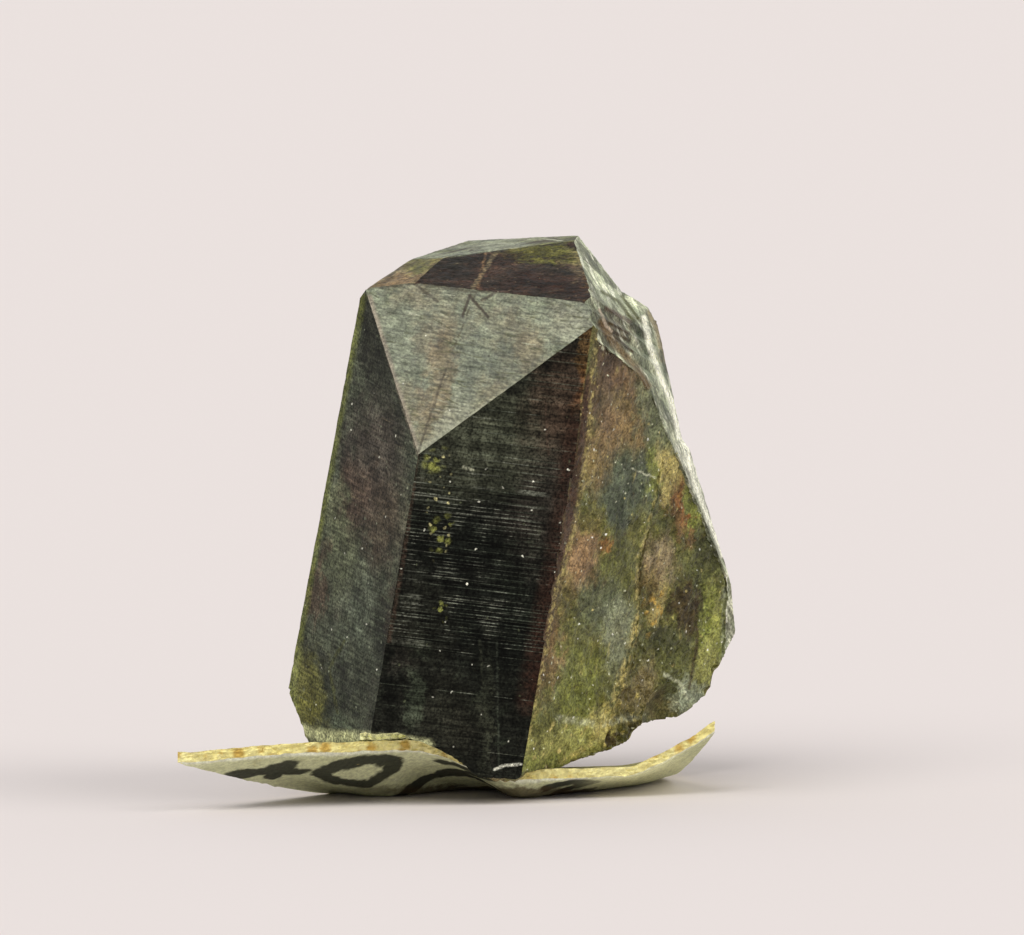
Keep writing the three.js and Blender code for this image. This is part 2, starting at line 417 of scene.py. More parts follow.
def facetsOfPoints(piece):
    # for each finish, which points its faces touch, and the way that they look there
    count = len(piece.data.vertices)
    touched = {finish: np.zeros(count, bool) for finish in finishes}
    normals = {finish: np.zeros((count, 3)) for finish in finishes}
    for polygon in piece.data.polygons:
        finish = finishes[polygon.material_index].replace("Ledge", "").replace("Behind", "")
        corners = list(polygon.vertices)
        touched[finish][corners] = True
        normals[finish][corners] += np.array(polygon.normal) * polygon.area
    for finish, normal in normals.items():
        size = np.linalg.norm(normal, axis=1)
        normals[finish] = normal / np.where(size > 0, size, 1)[:, None]
    return touched, normals


def terraceDepth(finish, own, points):
    # how far each point of a striated face lies behind the flat face: terraces between the growth lines
    heights = np.array(levels[finish])
    place = own[:, 2]
    index = np.searchsorted(heights, place, side="right")
    last = np.maximum(index - 1, 0)
    rise = np.clip((place - heights[last]) / crystalPlan["ledge"], 0, 1)
    draw = random.Random(crystalPlan["terraceSeed"])
    depths = np.array([draw.random() ** crystalPlan["shallow"] for _ in range(len(heights) + 2)])
    here, before = depths[index], depths[last]
    fade = 0.5 + 0.5 * wave(points * np.array([1, 1, crystalPlan["fadeUp"]]), *crystalPlan["terraceFade"])
    return (before + (here - before) * rise) * np.clip(fade, crystalPlan["leastTerrace"], 1)


def shapeCrystal():
    piece = copyOfNode("crystal", "crystal_grown")
    bpy.ops.object.mode_set(mode="EDIT")
    bpy.ops.mesh.select_all(action="SELECT")
    bpy.ops.mesh.dissolve_limited(angle_limit=math.radians(crystalPlan["flattened"]))
    bpy.ops.mesh.quads_convert_to_tris(quad_method="BEAUTY", ngon_method="BEAUTY")
    bpy.ops.object.mode_set(mode="OBJECT")
    nameFaces(piece)
    cutGrowthLines(piece)
    print("growth lines cut:", len(piece.data.polygons), "faces")
    splitLongEdges(piece, list(crystalPlan["meshSize"].values()))
    print("crystal mesh refined:", len(piece.data.polygons), "faces")
    points = pointsOf(piece)
    own = (points - np.array(heart)) @ np.array(lean)
    touched, normals = facetsOfPoints(piece)
    hills = [wave(points, size, seed) for size, seed in crystalPlan["waves"]]
    depths = {finish: most * terraceDepth(finish, own, points) for finish, most in crystalPlan["terraces"].items()}
    for finish, (even, *shares) in crystalPlan["relief"].items():
        depths[finish] = sum((share * hill for share, hill in zip(shares, hills)), even)
    inward = np.zeros_like(points)
    for finish, depth in depths.items():
        inward -= np.where(touched[finish], np.maximum(depth, 0), 0)[:, None] * normals[finish]
    setPoints(piece, np.clip(points + inward, points.min(0), points.max(0)))
    return piece


crystal = shapeCrystal()
print("crystal shaped")


groupPlan = {
    "gapRange": (0.4, 0.6),  # the part of a noise over which streaks fade out
    "grainRange": (0.36, 0.64),  # the part of it over which grain goes from dark to light
    "speckWander": 0.12,  # mm
    "speckCore": 0.4,  # the share of a speck's radius that is full
}
socketKinds = {"colour": "NodeSocketColor", "vector": "NodeSocketVector", "number": "NodeSocketFloat"}


def newGroup(name, gives, takes):
    # an output is given with its kind, an input with its kind or the number that it starts from
    tree = bpy.data.node_groups.new(name, "ShaderNodeTree")
    for label, start in takes.items():
        kind = start if start in socketKinds else "number"
        socket = tree.interface.new_socket(name=label, in_out="INPUT", socket_type=socketKinds[kind])
        if kind == "number":
            socket.default_value = start
    for label, kind in gives.items():
        tree.interface.new_socket(name=label, in_out="OUTPUT", socket_type=socketKinds[kind])
    return tree, addNode(tree, "NodeGroupInput").outputs


def closeGroup(tree, gives):
    addNode(tree, "NodeGroupOutput", gives)
    return tree


def strayed(tree, level, reach, **rough):
    # a flat place moved about by noise, by reach at most
    noiseNode = addNode(tree, "TexNoise", rough)
    centred = vectorNode(tree, "SUBTRACT", noiseNode.outputs["Color"], (0.5, 0.5, 0.5))
    moved = vectorNode(tree, "ADD", vectorNode(tree, "SCALE", centred, reach), level)
    return vectorNode(tree, "MULTIPLY", moved, (1, 1, 0))


def turnedNode(tree, place, turn):
    return addNode(tree, "VectorRotate", {"Vector": place, "Angle": turn}, rotation_type="Z_AXIS").outputs[0]


def softStep(tree, value, middle, softness, atLow=0, atHigh=1):
    low = mathNode(tree, "SUBTRACT", middle, softness)
    high = mathNode(tree, "ADD", middle, softness)
    return rangeNode(tree, value, low, high, atLow, atHigh)


def makePlaceGroup():
    # gives the place on the crystal in its own upright frame, and as seen square from the front, in mm
    tree, takes = newGroup(
        "crystal_place", {"Own": "vector", "Front": "vector", "Ragged Front": "vector"},
        {"Wander": 0.25, "Wander Size": 1.4},
    )
    place = addNode(tree, "TexCoord").outputs["Object"]
    own = addNode(tree, "Mapping", {
        "Vector": place, "Location": heart / mmPerMetre, "Rotation": lean.to_euler(), "Scale": [1 / mmPerMetre] * 3,
    }, vector_type="TEXTURE").outputs[0]
    front = addNode(tree, "Mapping", {
        "Vector": place, "Rotation": (math.radians(studio["elevation"] - 90), 0, 0), "Scale": [mmPerMetre] * 3,
    }, vector_type="POINT").outputs[0]
    flat = vectorNode(tree, "MULTIPLY", front, (1, 1, 0))
    ragged = strayed(tree, flat, takes["Wander"], Vector=own, Scale=takes["Wander Size"], Detail=7, Roughness=0.72)
    return closeGroup(tree, {"Own": own, "Front": flat, "Ragged Front": ragged})


def makeMottleGroup():
    # two colours in soft clouds; Share is how much of the second shows
    tree, takes = newGroup("mottle", {"Colour": "colour"}, {
        "Place": "vector", "First": "colour", "Second": "colour", "Scale": 1.0, "Share": 0.5, "Softness": 0.1,
        "Detail": 4.0, "Amount": 1.0,
    })
    cloud = addNode(tree, "TexNoise", {
        "Vector": takes["Place"], "Scale": takes["Scale"], "Detail": takes["Detail"], "Roughness": 0.7,
    }).outputs["Fac"]
    step = softStep(tree, cloud, mathNode(tree, "SUBTRACT", 1.0, takes["Share"]), takes["Softness"])
    mask = mathNode(tree, "MULTIPLY", step, takes["Amount"])
    return closeGroup(tree, {"Colour": mixNode(tree, mask, takes["First"], takes["Second"])})


def makePatchGroup():
    # one tinted patch on top of what is there, by its place as seen from the front
    tree, takes = newGroup("tinted_patch", {"Colour": "colour", "Mask": "number"}, {
        "Colour": "colour", "Place": "vector", "Tint": "colour", "Centre": "vector", "Reach": "vector",
        "Turn": 0.0, "Softness": 0.4, "Amount": 1.0,
    })
    away = turnedNode(tree, vectorNode(tree, "SUBTRACT", takes["Place"], takes["Centre"]), takes["Turn"])
    length = vectorNode(tree, "LENGTH", vectorNode(tree, "DIVIDE", away, takes["Reach"]))
    step = softStep(tree, length, 1.0, takes["Softness"], 1, 0)
    mask = mathNode(tree, "MULTIPLY", step, takes["Amount"])
    return closeGroup(tree, {"Colour": mixNode(tree, mask, takes["Colour"], takes["Tint"]), "Mask": mask})


def makeStrokeGroup():
    # mask of one straight stroke with soft sides, by its two ends
    tree, takes = newGroup("stroke", {"Mask": "number"}, {
        "Place": "vector", "Start": "vector", "End": "vector", "Width": 0.1, "Softness": 0.35,
    })
    away = vectorNode(tree, "SUBTRACT", takes["Place"], takes["Start"])
    along = vectorNode(tree, "SUBTRACT", takes["End"], takes["Start"])
    onto = vectorNode(tree, "DOT_PRODUCT", away, along)
    whole = vectorNode(tree, "DOT_PRODUCT", along, along)
    nearest = vectorNode(tree, "SCALE", along, mathNode(tree, "DIVIDE", onto, whole, clamp=True))
    length = vectorNode(tree, "LENGTH", vectorNode(tree, "SUBTRACT", away, nearest))
    inner, outer = (
        mathNode(tree, "MULTIPLY", takes["Width"], mathNode(tree, way, 0.5, takes["Softness"]))
        for way in ("SUBTRACT", "ADD")
    )
    return closeGroup(tree, {"Mask": rangeNode(tree, length, inner, outer, 1, 0)})


def makeStreaksGroup():
    # long thin noise along one direction: Height runs from 0 to 1, Mask is its thin bright part with gaps
    tree, takes = newGroup("streaks", {"Mask": "number", "Height": "number"}, {
        "Place": "vector", "Turn": 0.0, "Stretch": "vector", "Share": 0.35, "Softness": 0.04, "Gaps": 0.5,
        "Gap Scale": 0.7,
    })
    stretched = vectorNode(tree, "MULTIPLY", turnedNode(tree, takes["Place"], takes["Turn"]), takes["Stretch"])
    lines = addNode(tree, "TexNoise", {"Vector": stretched, "Scale": 1.0, "Detail": 2.5}).outputs["Fac"]
    clouds = addNode(tree, "TexNoise", {
        "Vector": takes["Place"], "Scale": takes["Gap Scale"], "Detail": 3.0,
    }).outputs["Fac"]
    step = softStep(tree, lines, mathNode(tree, "SUBTRACT", 1.0, takes["Share"]), takes["Softness"])
    gaps = rangeNode(tree, clouds, *groupPlan["gapRange"], mathNode(tree, "SUBTRACT", 1.0, takes["Gaps"]))
    return closeGroup(tree, {"Mask": mathNode(tree, "MULTIPLY", step, gaps), "Height": lines})


def makeSpecksGroup():
    # small ragged grains, scattered
    tree, takes = newGroup("specks", {"Mask": "number"}, {
        "Place": "vector", "Scale": 4.0, "Size": 0.12, "Share": 0.3,
    })
    rough = addNode(tree, "TexNoise", {"Vector": takes["Place"], "Scale": 9.0, "Detail": 2.0}).outputs["Color"]
    place = vectorNode(tree, "ADD", takes["Place"], vectorNode(tree, "SCALE", rough, groupPlan["speckWander"]))
    cells = addNode(tree, "TexVoronoi", {"Vector": place, "Scale": takes["Scale"]}).outputs
    inner = mathNode(tree, "MULTIPLY", takes["Size"], groupPlan["speckCore"])
    step = rangeNode(tree, cells["Distance"], inner, takes["Size"], 1, 0)
    split = addNode(tree, "SeparateColor", {"Color": cells["Color"]}).outputs
    chosen = mathNode(tree, "LESS_THAN", split["Red"], takes["Share"])
    return closeGroup(tree, {"Mask": mathNode(tree, "MULTIPLY", step, chosen)})


def makeGrainGroup():
    # fine light and dark grain: darkens or lightens a colour between Low and High
    tree, takes = newGroup("grain", {"Colour": "colour", "Height": "number"}, {
        "Colour": "colour", "Place": "vector", "Scale": 12.0, "Low": 0.7, "High": 1.3,
    })
    fine = addNode(tree, "TexNoise", {
        "Vector": takes["Place"], "Scale": takes["Scale"], "Detail": 3.0, "Roughness": 0.7,
    }).outputs["Fac"]
    factor = rangeNode(tree, fine, *groupPlan["grainRange"], takes["Low"], takes["High"], "LINEAR")
    return closeGroup(tree, {"Colour": vectorNode(tree, "SCALE", takes["Colour"], factor), "Height": fine})


def makeChipsGroup():
    # small plates with sharp sides, each a little lighter or darker, as on a broken face
    tree, takes = newGroup("chips", {"Colour": "colour"}, {
        "Colour": "colour", "Place": "vector", "Turn": 0.0, "Stretch": "vector", "Low": 0.8, "High": 1.25,
    })
    stretched = vectorNode(tree, "MULTIPLY", turnedNode(tree, takes["Place"], takes["Turn"]), takes["Stretch"])
    cells = addNode(tree, "TexVoronoi", {"Vector": stretched, "Scale": 1.0}).outputs["Color"]
    split = addNode(tree, "SeparateColor", {"Color": cells}).outputs["Red"]
    factor = rangeNode(tree, split, 0, 1, takes["Low"], takes["High"], "LINEAR")
    return closeGroup(tree, {"Colour": vectorNode(tree, "SCALE", takes["Colour"], factor)})


groups = {
    "place": makePlaceGroup(), "mottle": makeMottleGroup(), "patch": makePatchGroup(), "stroke": makeStrokeGroup(),
    "streaks": makeStreaksGroup(), "specks": makeSpecksGroup(), "grain": makeGrainGroup(), "chips": makeChipsGroup(),
}


def groupNode(tree, name, **takes):
    # places a group and gives its outputs
    takes = {label.replace("_", " "): value for label, value in takes.items()}
    return addNode(tree, "Group", takes, node_tree=groups[name]).outputs


def at(x, y):
    # a place in the photograph's frame as millimetres from the origin, seen square from the front
    scale = studio["pixelsPerMm"]
    return ((x - studio["originAt"][0]) / scale, (studio["originAt"][1] - y) / scale, 0)


# what each finish looks like in the studio's light
tints = {
    "ink": (18, 21, 17), "coal": (34, 35, 29), "smoke": (60, 60, 49), "violet": (70, 63, 56), "steel": (74, 77, 62),
    "mauve": (84, 68, 56), "maroon": (62, 43, 34), "wine": (44, 27, 20), "rust": (134, 88, 46),
    "rose": (136, 108, 78), "olive": (98, 96, 44), "lime": (152, 156, 82), "moss": (78, 80, 43),
    "leaf": (112, 117, 56), "lichen": (98, 104, 78), "sage": (140, 146, 122), "pale": (188, 190, 162),
    "white": (238, 238, 218), "slate": (90, 97, 82), "teal": (72, 80, 64), "tan": (136, 122, 92),
    "straw": (184, 170, 108), "gold": (184, 150, 72), "umber": (60, 48, 30), "brown": (104, 82, 52),
    "pink": (172, 158, 138), "glass": (122, 132, 104), "jade": (206, 208, 158), "soot": (26, 28, 23),
    "plum": (78, 62, 52), "reed": (138, 137, 80), "cream": (216, 209, 150), "butter": (202, 186, 104),
    "stain": (150, 134, 80), "fibre": (216, 214, 176), "honey": (174, 138, 54), "ash": (160, 162, 130),
    "dust": (134, 136, 104), "silver": (112, 115, 102),
}


def painted(tint, light):
    # a tint as the paint that shows it where the studio's light on the face is light times the average
    return (*(min(part / light, 1) for part in tone(*tints[tint])[:3]), 1)


# white specks are painted glints, partly pale dust grains
# Places are in the photograph's frame, in pixels from its top left corner.
# light: how much of the studio's light falls on the finish
# clouds: tint, scale per mm, share, softness, amount
# patches: x, y, half width, half height, lean to the right in degrees, softness, tint, amount
# strokes: ends and bends, width, tint, amount, how much they break up
# streaks: frame, turn, stretch, share, softness, gaps, gap scale, tint, amount, and the patch that they keep to
# shade: frame, turn, stretch, darkest, lightest
# chips: turn, stretch, darkest, lightest
# specks: tint, scale per mm, size, share, amount, and the patch that they keep to
# grain: scale per mm, darkest, lightest
# wander: how far strokes stray from their lines, in mm
rightEdge = [(594, 352), (588, 440), (574, 530), (556, 590), (540, 680), (526, 740)]
breakLine = [(663, 460), (645, 540), (636, 559), (638, 618), (631, 648), (606, 726)]
# painted shadow: a dark line just right of the break line, where its step faces away from the light
breakShadow = [(x + 5, y + 2) for x, y in breakLine]
footLine = [(304, 729), (318, 735), (360, 736), (400, 738), (430, 743)]
looks = {
    "left": {
        "light": 1.26, "base": "steel",
        "clouds": [
            ("teal", 0.35, 0.5, 0.12, 0.9), ("slate", 0.9, 0.36, 0.1, 0.7), ("coal", 0.55, 0.4, 0.12, 0.7),
            ("violet", 1.3, 0.36, 0.1, 0.5),
        ],
        "patches": [
            (372, 460, 30, 62, 12, 0.5, "violet", 0.8), (352, 500, 18, 40, 9, 0.5, "mauve", 0.6),
            (334, 520, 11, 42, 9, 0.5, "lichen", 0.75), (318, 585, 8, 38, 9, 0.4, "mauve", 0.7),
            (384, 672, 28, 70, 5, 0.5, "coal", 0.6), (340, 690, 16, 30, 10, 0.4, "coal", 0.55),
            # the two olive patches at the lower left are painted light shining through the thin edge, on the
            # crystal's olive tone
            (308, 690, 18, 42, -8, 0.5, "olive", 0.7), (306, 716, 16, 22, 0, 0.4, "olive", 0.6),
            (378, 350, 15, 56, -14, 0.5, "coal", 0.75), (404, 600, 12, 80, 6, 0.6, "plum", 0.5),
            (360, 600, 16, 50, 6, 0.5, "slate", 0.4), (344, 562, 16, 30, 8, 0.6, "lichen", 0.5),
            (384, 524, 18, 40, 8, 0.6, "mauve", 0.5), (398, 660, 14, 90, 4, 0.5, "soot", 0.6),
        ],
        "strokes": [
            (footLine, 11, "jade", 0.9, 0.25),
            # the leaf stroke along the left edge and the lime one at its lower end are painted light shining through
            # the thin edge
            ([(362, 298), (340, 410), (318, 530), (298, 640)], 9, "leaf", 0.75, 0.15),
            ([(361, 292), (338, 410), (316, 530), (295, 642)], 3, "moss", 0.7, 0.0),
            ([(298, 650), (292, 690), (296, 722)], 10, "lime", 0.5, 0.3),
            # a faint pink stroke along the bright face's edge: painted edge highlight
            ([(372, 304), (419, 456)], 2.5, "pink", 0.35, 0.5),
            ([(345, 640), (330, 668), (338, 712)], 3, "moss", 0.6, 0.2),
        ],
        "streaks": [
            ("own", 0, (0.6, 0.6, 13), 0.34, 0.06, 0.8, 1.2, "slate", 0.4),
            ("front", 28, (1.0, 11, 1), 0.34, 0.05, 0.9, 1.2, "tan", 0.45, (385, 470, 40, 60, 10, 0.5)),
        ],
        "shade": [
            ("own", 0, (1.6, 1.6, 13), 0.62, 1.42), ("front", 82, (0.35, 3.2, 1), 0.72, 1.32),
            ("front", 30, (1.8, 14, 1), 0.66, 1.38),
        ],
        # the white specks are painted glints, partly pale grains
        "specks": [("white", 2.6, 0.11, 0.4, 0.9), ("sage", 3.6, 0.17, 0.36, 0.6), ("soot", 4.2, 0.24, 0.4, 0.6)],
        "grain": [(2.4, 0.66, 1.38), (15, 0.36, 1.8)],
        "roughness": 0.42, "specular": 0.05, "bump": 0.3, "wander": 0.14,
    },
    "front": {
        "light": 1.38, "base": "coal",
        "clouds": [("ink", 0.5, 0.5, 0.14, 0.8), ("violet", 0.6, 0.36, 0.12, 0.4), ("teal", 0.8, 0.36, 0.1, 0.6)],
        "patches": [
            (505, 440, 88, 44, -30, 0.5, "steel", 0.75), (556, 400, 28, 46, 25, 0.5, "mauve", 0.6),
            (588, 352, 9, 34, 8, 0.35, "brown", 0.8), (581, 392, 9, 22, 10, 0.5, "rust", 0.35),
            (565, 425, 20, 40, 15, 0.6, "maroon", 0.45), (486, 700, 6, 70, 2, 0.6, "steel", 0.5),
            (450, 720, 30, 34, 0, 0.6, "smoke", 0.45), (540, 500, 30, 60, 6, 0.6, "violet", 0.35),
            (416, 698, 9, 26, 0, 0.5, "teal", 0.6), (425, 620, 30, 34, 0, 0.5, "smoke", 0.5),
            (450, 540, 60, 34, 0, 0.5, "ink", 0.85), (500, 630, 46, 60, 0, 0.5, "ink", 0.8),
            (438, 610, 34, 40, 0, 0.5, "ink", 0.6),
        ],
        "strokes": [
            ([(576, 430), (566, 500), (558, 560), (545, 620), (530, 700)], 23, "maroon", 0.8, 0.35),
            ([(572, 500), (563, 560), (549, 625), (533, 690)], 9, "wine", 0.7, 0.3), (footLine, 9, "jade", 0.9, 0.25),
            ([(596, 310), (582, 400), (579, 480)], 3, "straw", 0.4, 0.7),
            ([(418, 456), (404, 560), (390, 640)], 4, "mauve", 0.6, 0.5),
            # the short white stroke at the front of the foot is a painted glint
            ([(494, 768), (506, 764), (521, 763)], 2.4, "white", 0.95, 0.0),
            ([(480, 640), (490, 770)], 3, "steel", 0.35, 0.6), ([(497, 640), (499, 764)], 2, "slate", 0.3, 0.6),
            ([(548, 455), (545, 400)], 2, "mauve", 0.6, 0.4), ([(464, 467), (474, 470)], 3, "pale", 0.7, 0.9),
        ],
        "streaks": [
            ("own", 0, (0.25, 0.25, 11), 0.4, 0.04, 1.0, 1.0, "silver", 0.85, (480, 492, 100, 32, 0, 0.5)),
            ("own", 0, (0.3, 0.3, 15), 0.4, 0.04, 1.0, 1.2, "silver", 0.8, (438, 592, 58, 58, 0, 0.5)),
            ("own", 0, (0.6, 0.6, 19), 0.32, 0.05, 1.0, 1.0, "slate", 0.5),
        ],
        "shade": [
            ("own", 0, (0.12, 0.12, 6), 0.55, 1.42), ("own", 0, (1.0, 1.0, 17), 0.44, 1.56),
            ("front", 84, (0.3, 3, 1), 0.66, 1.34),
        ],
        "specks": [
            # the white specks are painted glints, partly pale grains
            ("white", 2.4, 0.1, 0.42, 1.0), ("lichen", 3.6, 0.14, 0.25, 0.6),
            ("lime", 4.0, 0.6, 0.9, 0.95, (438, 460, 14, 10, -30, 0.4)),
            ("lime", 4.0, 0.55, 0.8, 0.95, (442, 533, 11, 16, 15, 0.5)),
            ("lime", 5.0, 0.4, 0.7, 0.8, (441, 610, 6, 10, 0, 0.5)),
            ("cream", 6.0, 0.34, 0.45, 0.85, (440, 498, 12, 56, 0, 0.3)),
        ],
        "grain": [(2.4, 0.66, 1.38), (15, 0.3, 1.9)],
        "roughness": 0.36, "specular": 0.03, "bump": 0.3, "wander": 0.12,
    },
    "right": {
        "light": 0.79, "base": "moss",
        "clouds": [
            ("olive", 0.5, 0.5, 0.18, 0.8), ("lichen", 0.9, 0.42, 0.16, 0.6), ("rose", 0.8, 0.32, 0.12, 0.35),
            ("brown", 1.5, 0.36, 0.1, 0.4),
        ],
        "patches": [
            (618, 366, 22, 36, -30, 0.6, "plum", 0.85), (602, 402, 14, 36, 6, 0.6, "mauve", 0.7),
            (636, 392, 14, 26, -30, 0.6, "brown", 0.6), (624, 430, 22, 26, 0, 0.6, "rose", 0.55),
            (655, 425, 15, 46, -18, 0.5, "lichen", 0.85), (600, 460, 16, 34, 0, 0.6, "rose", 0.45),
            (630, 494, 26, 38, -5, 0.35, "coal", 0.5), (630, 494, 30, 42, -5, 0.4, "teal", 0.8),
            (653, 470, 8, 24, 0, 0.5, "leaf", 0.7), (582, 556, 16, 38, 12, 0.6, "rose", 0.8),
            (607, 545, 6, 7, 0, 0.6, "rust", 0.65), (596, 520, 14, 16, 0, 0.5, "olive", 0.6),
            (640, 530, 10, 26, 10, 0.5, "olive", 0.6), (620, 575, 12, 26, 8, 0.5, "moss", 0.7),
            (616, 634, 15, 34, 5, 0.5, "sage", 0.5), (598, 600, 18, 26, 0, 0.6, "teal", 0.6),
            (578, 690, 20, 44, 12, 0.6, "leaf", 0.65), (606, 728, 14, 14, 0, 0.5, "straw", 0.7),
            (552, 650, 8, 40, 14, 0.6, "rose", 0.55), (552, 630, 14, 20, 12, 0.5, "brown", 0.5),
            (674, 482, 14, 34, -12, 0.35, "straw", 0.75), (682, 520, 10, 30, -20, 0.4, "brown", 0.95),
            (684, 505, 6, 20, -20, 0.4, "rust", 0.7), (700, 512, 8, 28, -22, 0.4, "leaf", 0.85),
            (704, 560, 20, 22, -10, 0.35, "moss", 0.95), (704, 552, 14, 12, -10, 0.4, "coal", 0.4),
            (660, 560, 14, 26, 4, 0.5, "tan", 0.9), (650, 590, 12, 26, 6, 0.6, "brown", 0.5),
            # the first, umber patch here is painted shade in a hollow that faces away from the light
            (684, 606, 13, 30, 3, 0.3, "umber", 0.85), (656, 606, 9, 18, 8, 0.7, "straw", 0.45),
            (668, 655, 20, 28, 8, 0.45, "moss", 0.85), (662, 640, 12, 16, 0, 0.5, "coal", 0.5),
            # the first, leaf patch here is painted light shining through the thin lobe
            (712, 644, 14, 56, -2, 0.25, "leaf", 0.95), (716, 612, 6, 30, 0, 0.5, "reed", 0.5),
            (706, 668, 12, 26, 12, 0.5, "reed", 0.7), (688, 694, 15, 16, 0, 0.5, "sage", 0.95),
            (638, 690, 14, 30, 14, 0.6, "tan", 0.6), (655, 706, 12, 14, 0, 0.5, "umber", 0.6),
            (566, 742, 46, 20, -8, 0.5, "reed", 0.75), (548, 764, 26, 12, 0, 0.5, "leaf", 0.7),
            (614, 742, 9, 6, 0, 0.4, "umber", 0.9), (636, 730, 14, 12, 0, 0.5, "umber", 0.6),
        ],
        "strokes": [
            ([(589, 380), (582, 440), (568, 520), (560, 560), (546, 630), (533, 690)], 13, "maroon", 0.95, 0.1),
            # the umber stroke beside the break line is painted shadow
            (breakShadow, 5, "umber", 0.4, 0.7), (rightEdge, 5, "straw", 0.5, 0.9),
            (breakLine[3:], 7, "straw", 0.7, 0.9), (breakLine[:4], 3, "straw", 0.45, 0.9),
            # the umber line from the top of the right face down is a painted shadow line
            ([(603, 306), (606, 350), (598, 400)], 3, "umber", 0.8, 0.3),
            ([(606, 328), (602, 350)], 2.5, "pale", 0.8, 0.1),
            ([(664, 675), (680, 683), (689, 699)], 3.5, "pale", 0.6, 0.6),
            ([(632, 469), (655, 478)], 2, "pale", 0.7, 0.6),
            # the umber line at the ridge is painted shade on the hollow's side of it
            ([(697, 590), (698, 644), (690, 690)], 3, "umber", 0.8, 0.2),
            ([(560, 718), (600, 724), (640, 716)], 7, "pale", 0.5, 0.7),
            ([(652, 596), (659, 608), (654, 624)], 4, "gold", 0.7, 0.8),
            ([(700, 575), (690, 600)], 4, "coal", 0.5, 0.3),
            ([(726, 590), (725, 660), (714, 690)], 6, "sage", 0.6, 0.3),
            ([(605, 712), (590, 745), (560, 762)], 5, "straw", 0.6, 0.7),
        ],
        "streaks": [
            ("own", 0, (1.4, 1.4, 11), 0.34, 0.06, 1.0, 2.0, "coal", 0.4),
            ("front", 100, (1.6, 7, 1), 0.32, 0.06, 0.9, 1.6, "straw", 0.4),
        ],
        "shade": [("front", 100, (0.8, 1.8, 1), 0.74, 1.3)],
        "chips": [(100, (1.6, 3.2, 1), 0.86, 1.18), (70, (4.0, 7.0, 1), 0.84, 1.2)],
        "specks": [
            # the white specks are painted glints, partly pale grains
            ("straw", 3.4, 0.18, 0.3, 0.6), ("white", 3.1, 0.13, 0.4, 1.0), ("pale", 5.2, 0.2, 0.3, 0.8),
            ("umber", 3.2, 0.22, 0.28, 0.6), ("gold", 3.0, 0.4, 0.6, 0.8, (657, 603, 13, 32, 6, 0.5)),
            ("straw", 3.0, 0.36, 0.6, 0.8, (634, 690, 16, 34, 14, 0.5)),
            ("straw", 3.4, 0.36, 0.7, 0.85, (585, 738, 56, 26, -12, 0.5)),
        ],
        "grain": [(3.2, 0.72, 1.32), (7, 0.8, 1.24), (15, 0.5, 1.56)],
        "roughness": 0.36, "specular": 0.09, "bump": 0.8,
    },
    # the bright face: its pale sage base, pale clouds, patches and streaks are partly its own paler tone and partly a
    # painted reflection, the satin sheen of the key lamp
    "bright": {
        "light": 1.3, "base": "sage",
        "clouds": [
            ("tan", 0.7, 0.46, 0.12, 0.6), ("glass", 0.9, 0.42, 0.12, 0.7), ("pale", 1.1, 0.32, 0.1, 0.35),
            ("slate", 1.6, 0.3, 0.08, 0.35),
        ],
        "patches": [
            (440, 376, 12, 66, 12, 0.5, "tan", 0.8), (432, 340, 12, 22, 10, 0.5, "rose", 0.3),
            (468, 385, 12, 34, 10, 0.5, "slate", 0.45), (505, 362, 20, 18, 0, 0.5, "slate", 0.45),
            (528, 352, 16, 20, 0, 0.5, "tan", 0.6), (575, 325, 18, 17, 0, 0.5, "pale", 0.6),
            (505, 325, 22, 12, 0, 0.6, "tan", 0.4), (458, 418, 14, 20, 20, 0.5, "pale", 0.5),
            (395, 320, 16, 20, -10, 0.5, "sage", 0.5),
        ],
        "strokes": [
            # the pink stroke along the left edge and the pale one along the lower edge are painted edge highlights
            ([(369, 299), (417, 451)], 7, "pink", 0.8, 0.15),
            ([(421, 450), (470, 418), (594, 335)], 7, "pale", 0.6, 0.3),
            ([(419, 452), (446, 370)], 2.5, "umber", 0.7, 0.3), ([(446, 370), (476, 294)], 2, "umber", 0.5, 0.7),
            # the umber line along the roof's edge is painted shadow
            ([(366, 289), (420, 284), (475, 293), (530, 292), (597, 306)], 3, "umber", 0.7, 0.2),
            ([(470, 297), (463, 317)], 3, "umber", 0.9, 0.0), ([(470, 297), (488, 318)], 3, "umber", 0.9, 0.0),
            ([(497, 293), (482, 301)], 3, "umber", 0.8, 0.0), ([(414, 284), (438, 302)], 3, "umber", 0.7, 0.2),
        ],
        "streaks": [
            ("front", 7, (1.3, 9, 1), 0.38, 0.04, 0.7, 1.2, "moss", 0.7),
            ("front", 30, (1.6, 10, 1), 0.36, 0.05, 1.0, 1.2, "moss", 0.7),
            ("front", 10, (2.0, 13, 1), 0.34, 0.04, 0.6, 1.4, "pale", 0.7),
        ],
        "shade": [
            ("front", 8, (2.2, 15, 1), 0.5, 1.42), ("front", 32, (2.6, 16, 1), 0.74, 1.26),
            ("front", 75, (0.5, 1.6, 1), 0.76, 1.24),
        ],
        # the white specks are painted glints, partly pale grains
        "specks": [("white", 2.6, 0.09, 0.25, 0.9), ("umber", 4, 0.14, 0.3, 0.6)],
        "grain": [(2.6, 0.8, 1.2), (14, 0.62, 1.4)],
        "roughness": 0.42, "specular": 0.16, "bump": 0.25, "wander": 0.1,
    },
    "darkRoof": {
        "light": 1.2, "base": "maroon",
        "clouds": [("coal", 1.0, 0.5, 0.12, 0.8), ("plum", 1.6, 0.4, 0.1, 0.7), ("ink", 1.3, 0.34, 0.1, 0.6)],
        "patches": [
            (545, 250, 40, 11, 8, 0.4, "olive", 0.85), (593, 294, 7, 16, 8, 0.4, "brown", 0.8),
            (465, 266, 22, 10, -12, 0.5, "soot", 0.5), (545, 284, 40, 9, 8, 0.5, "wine", 0.9),
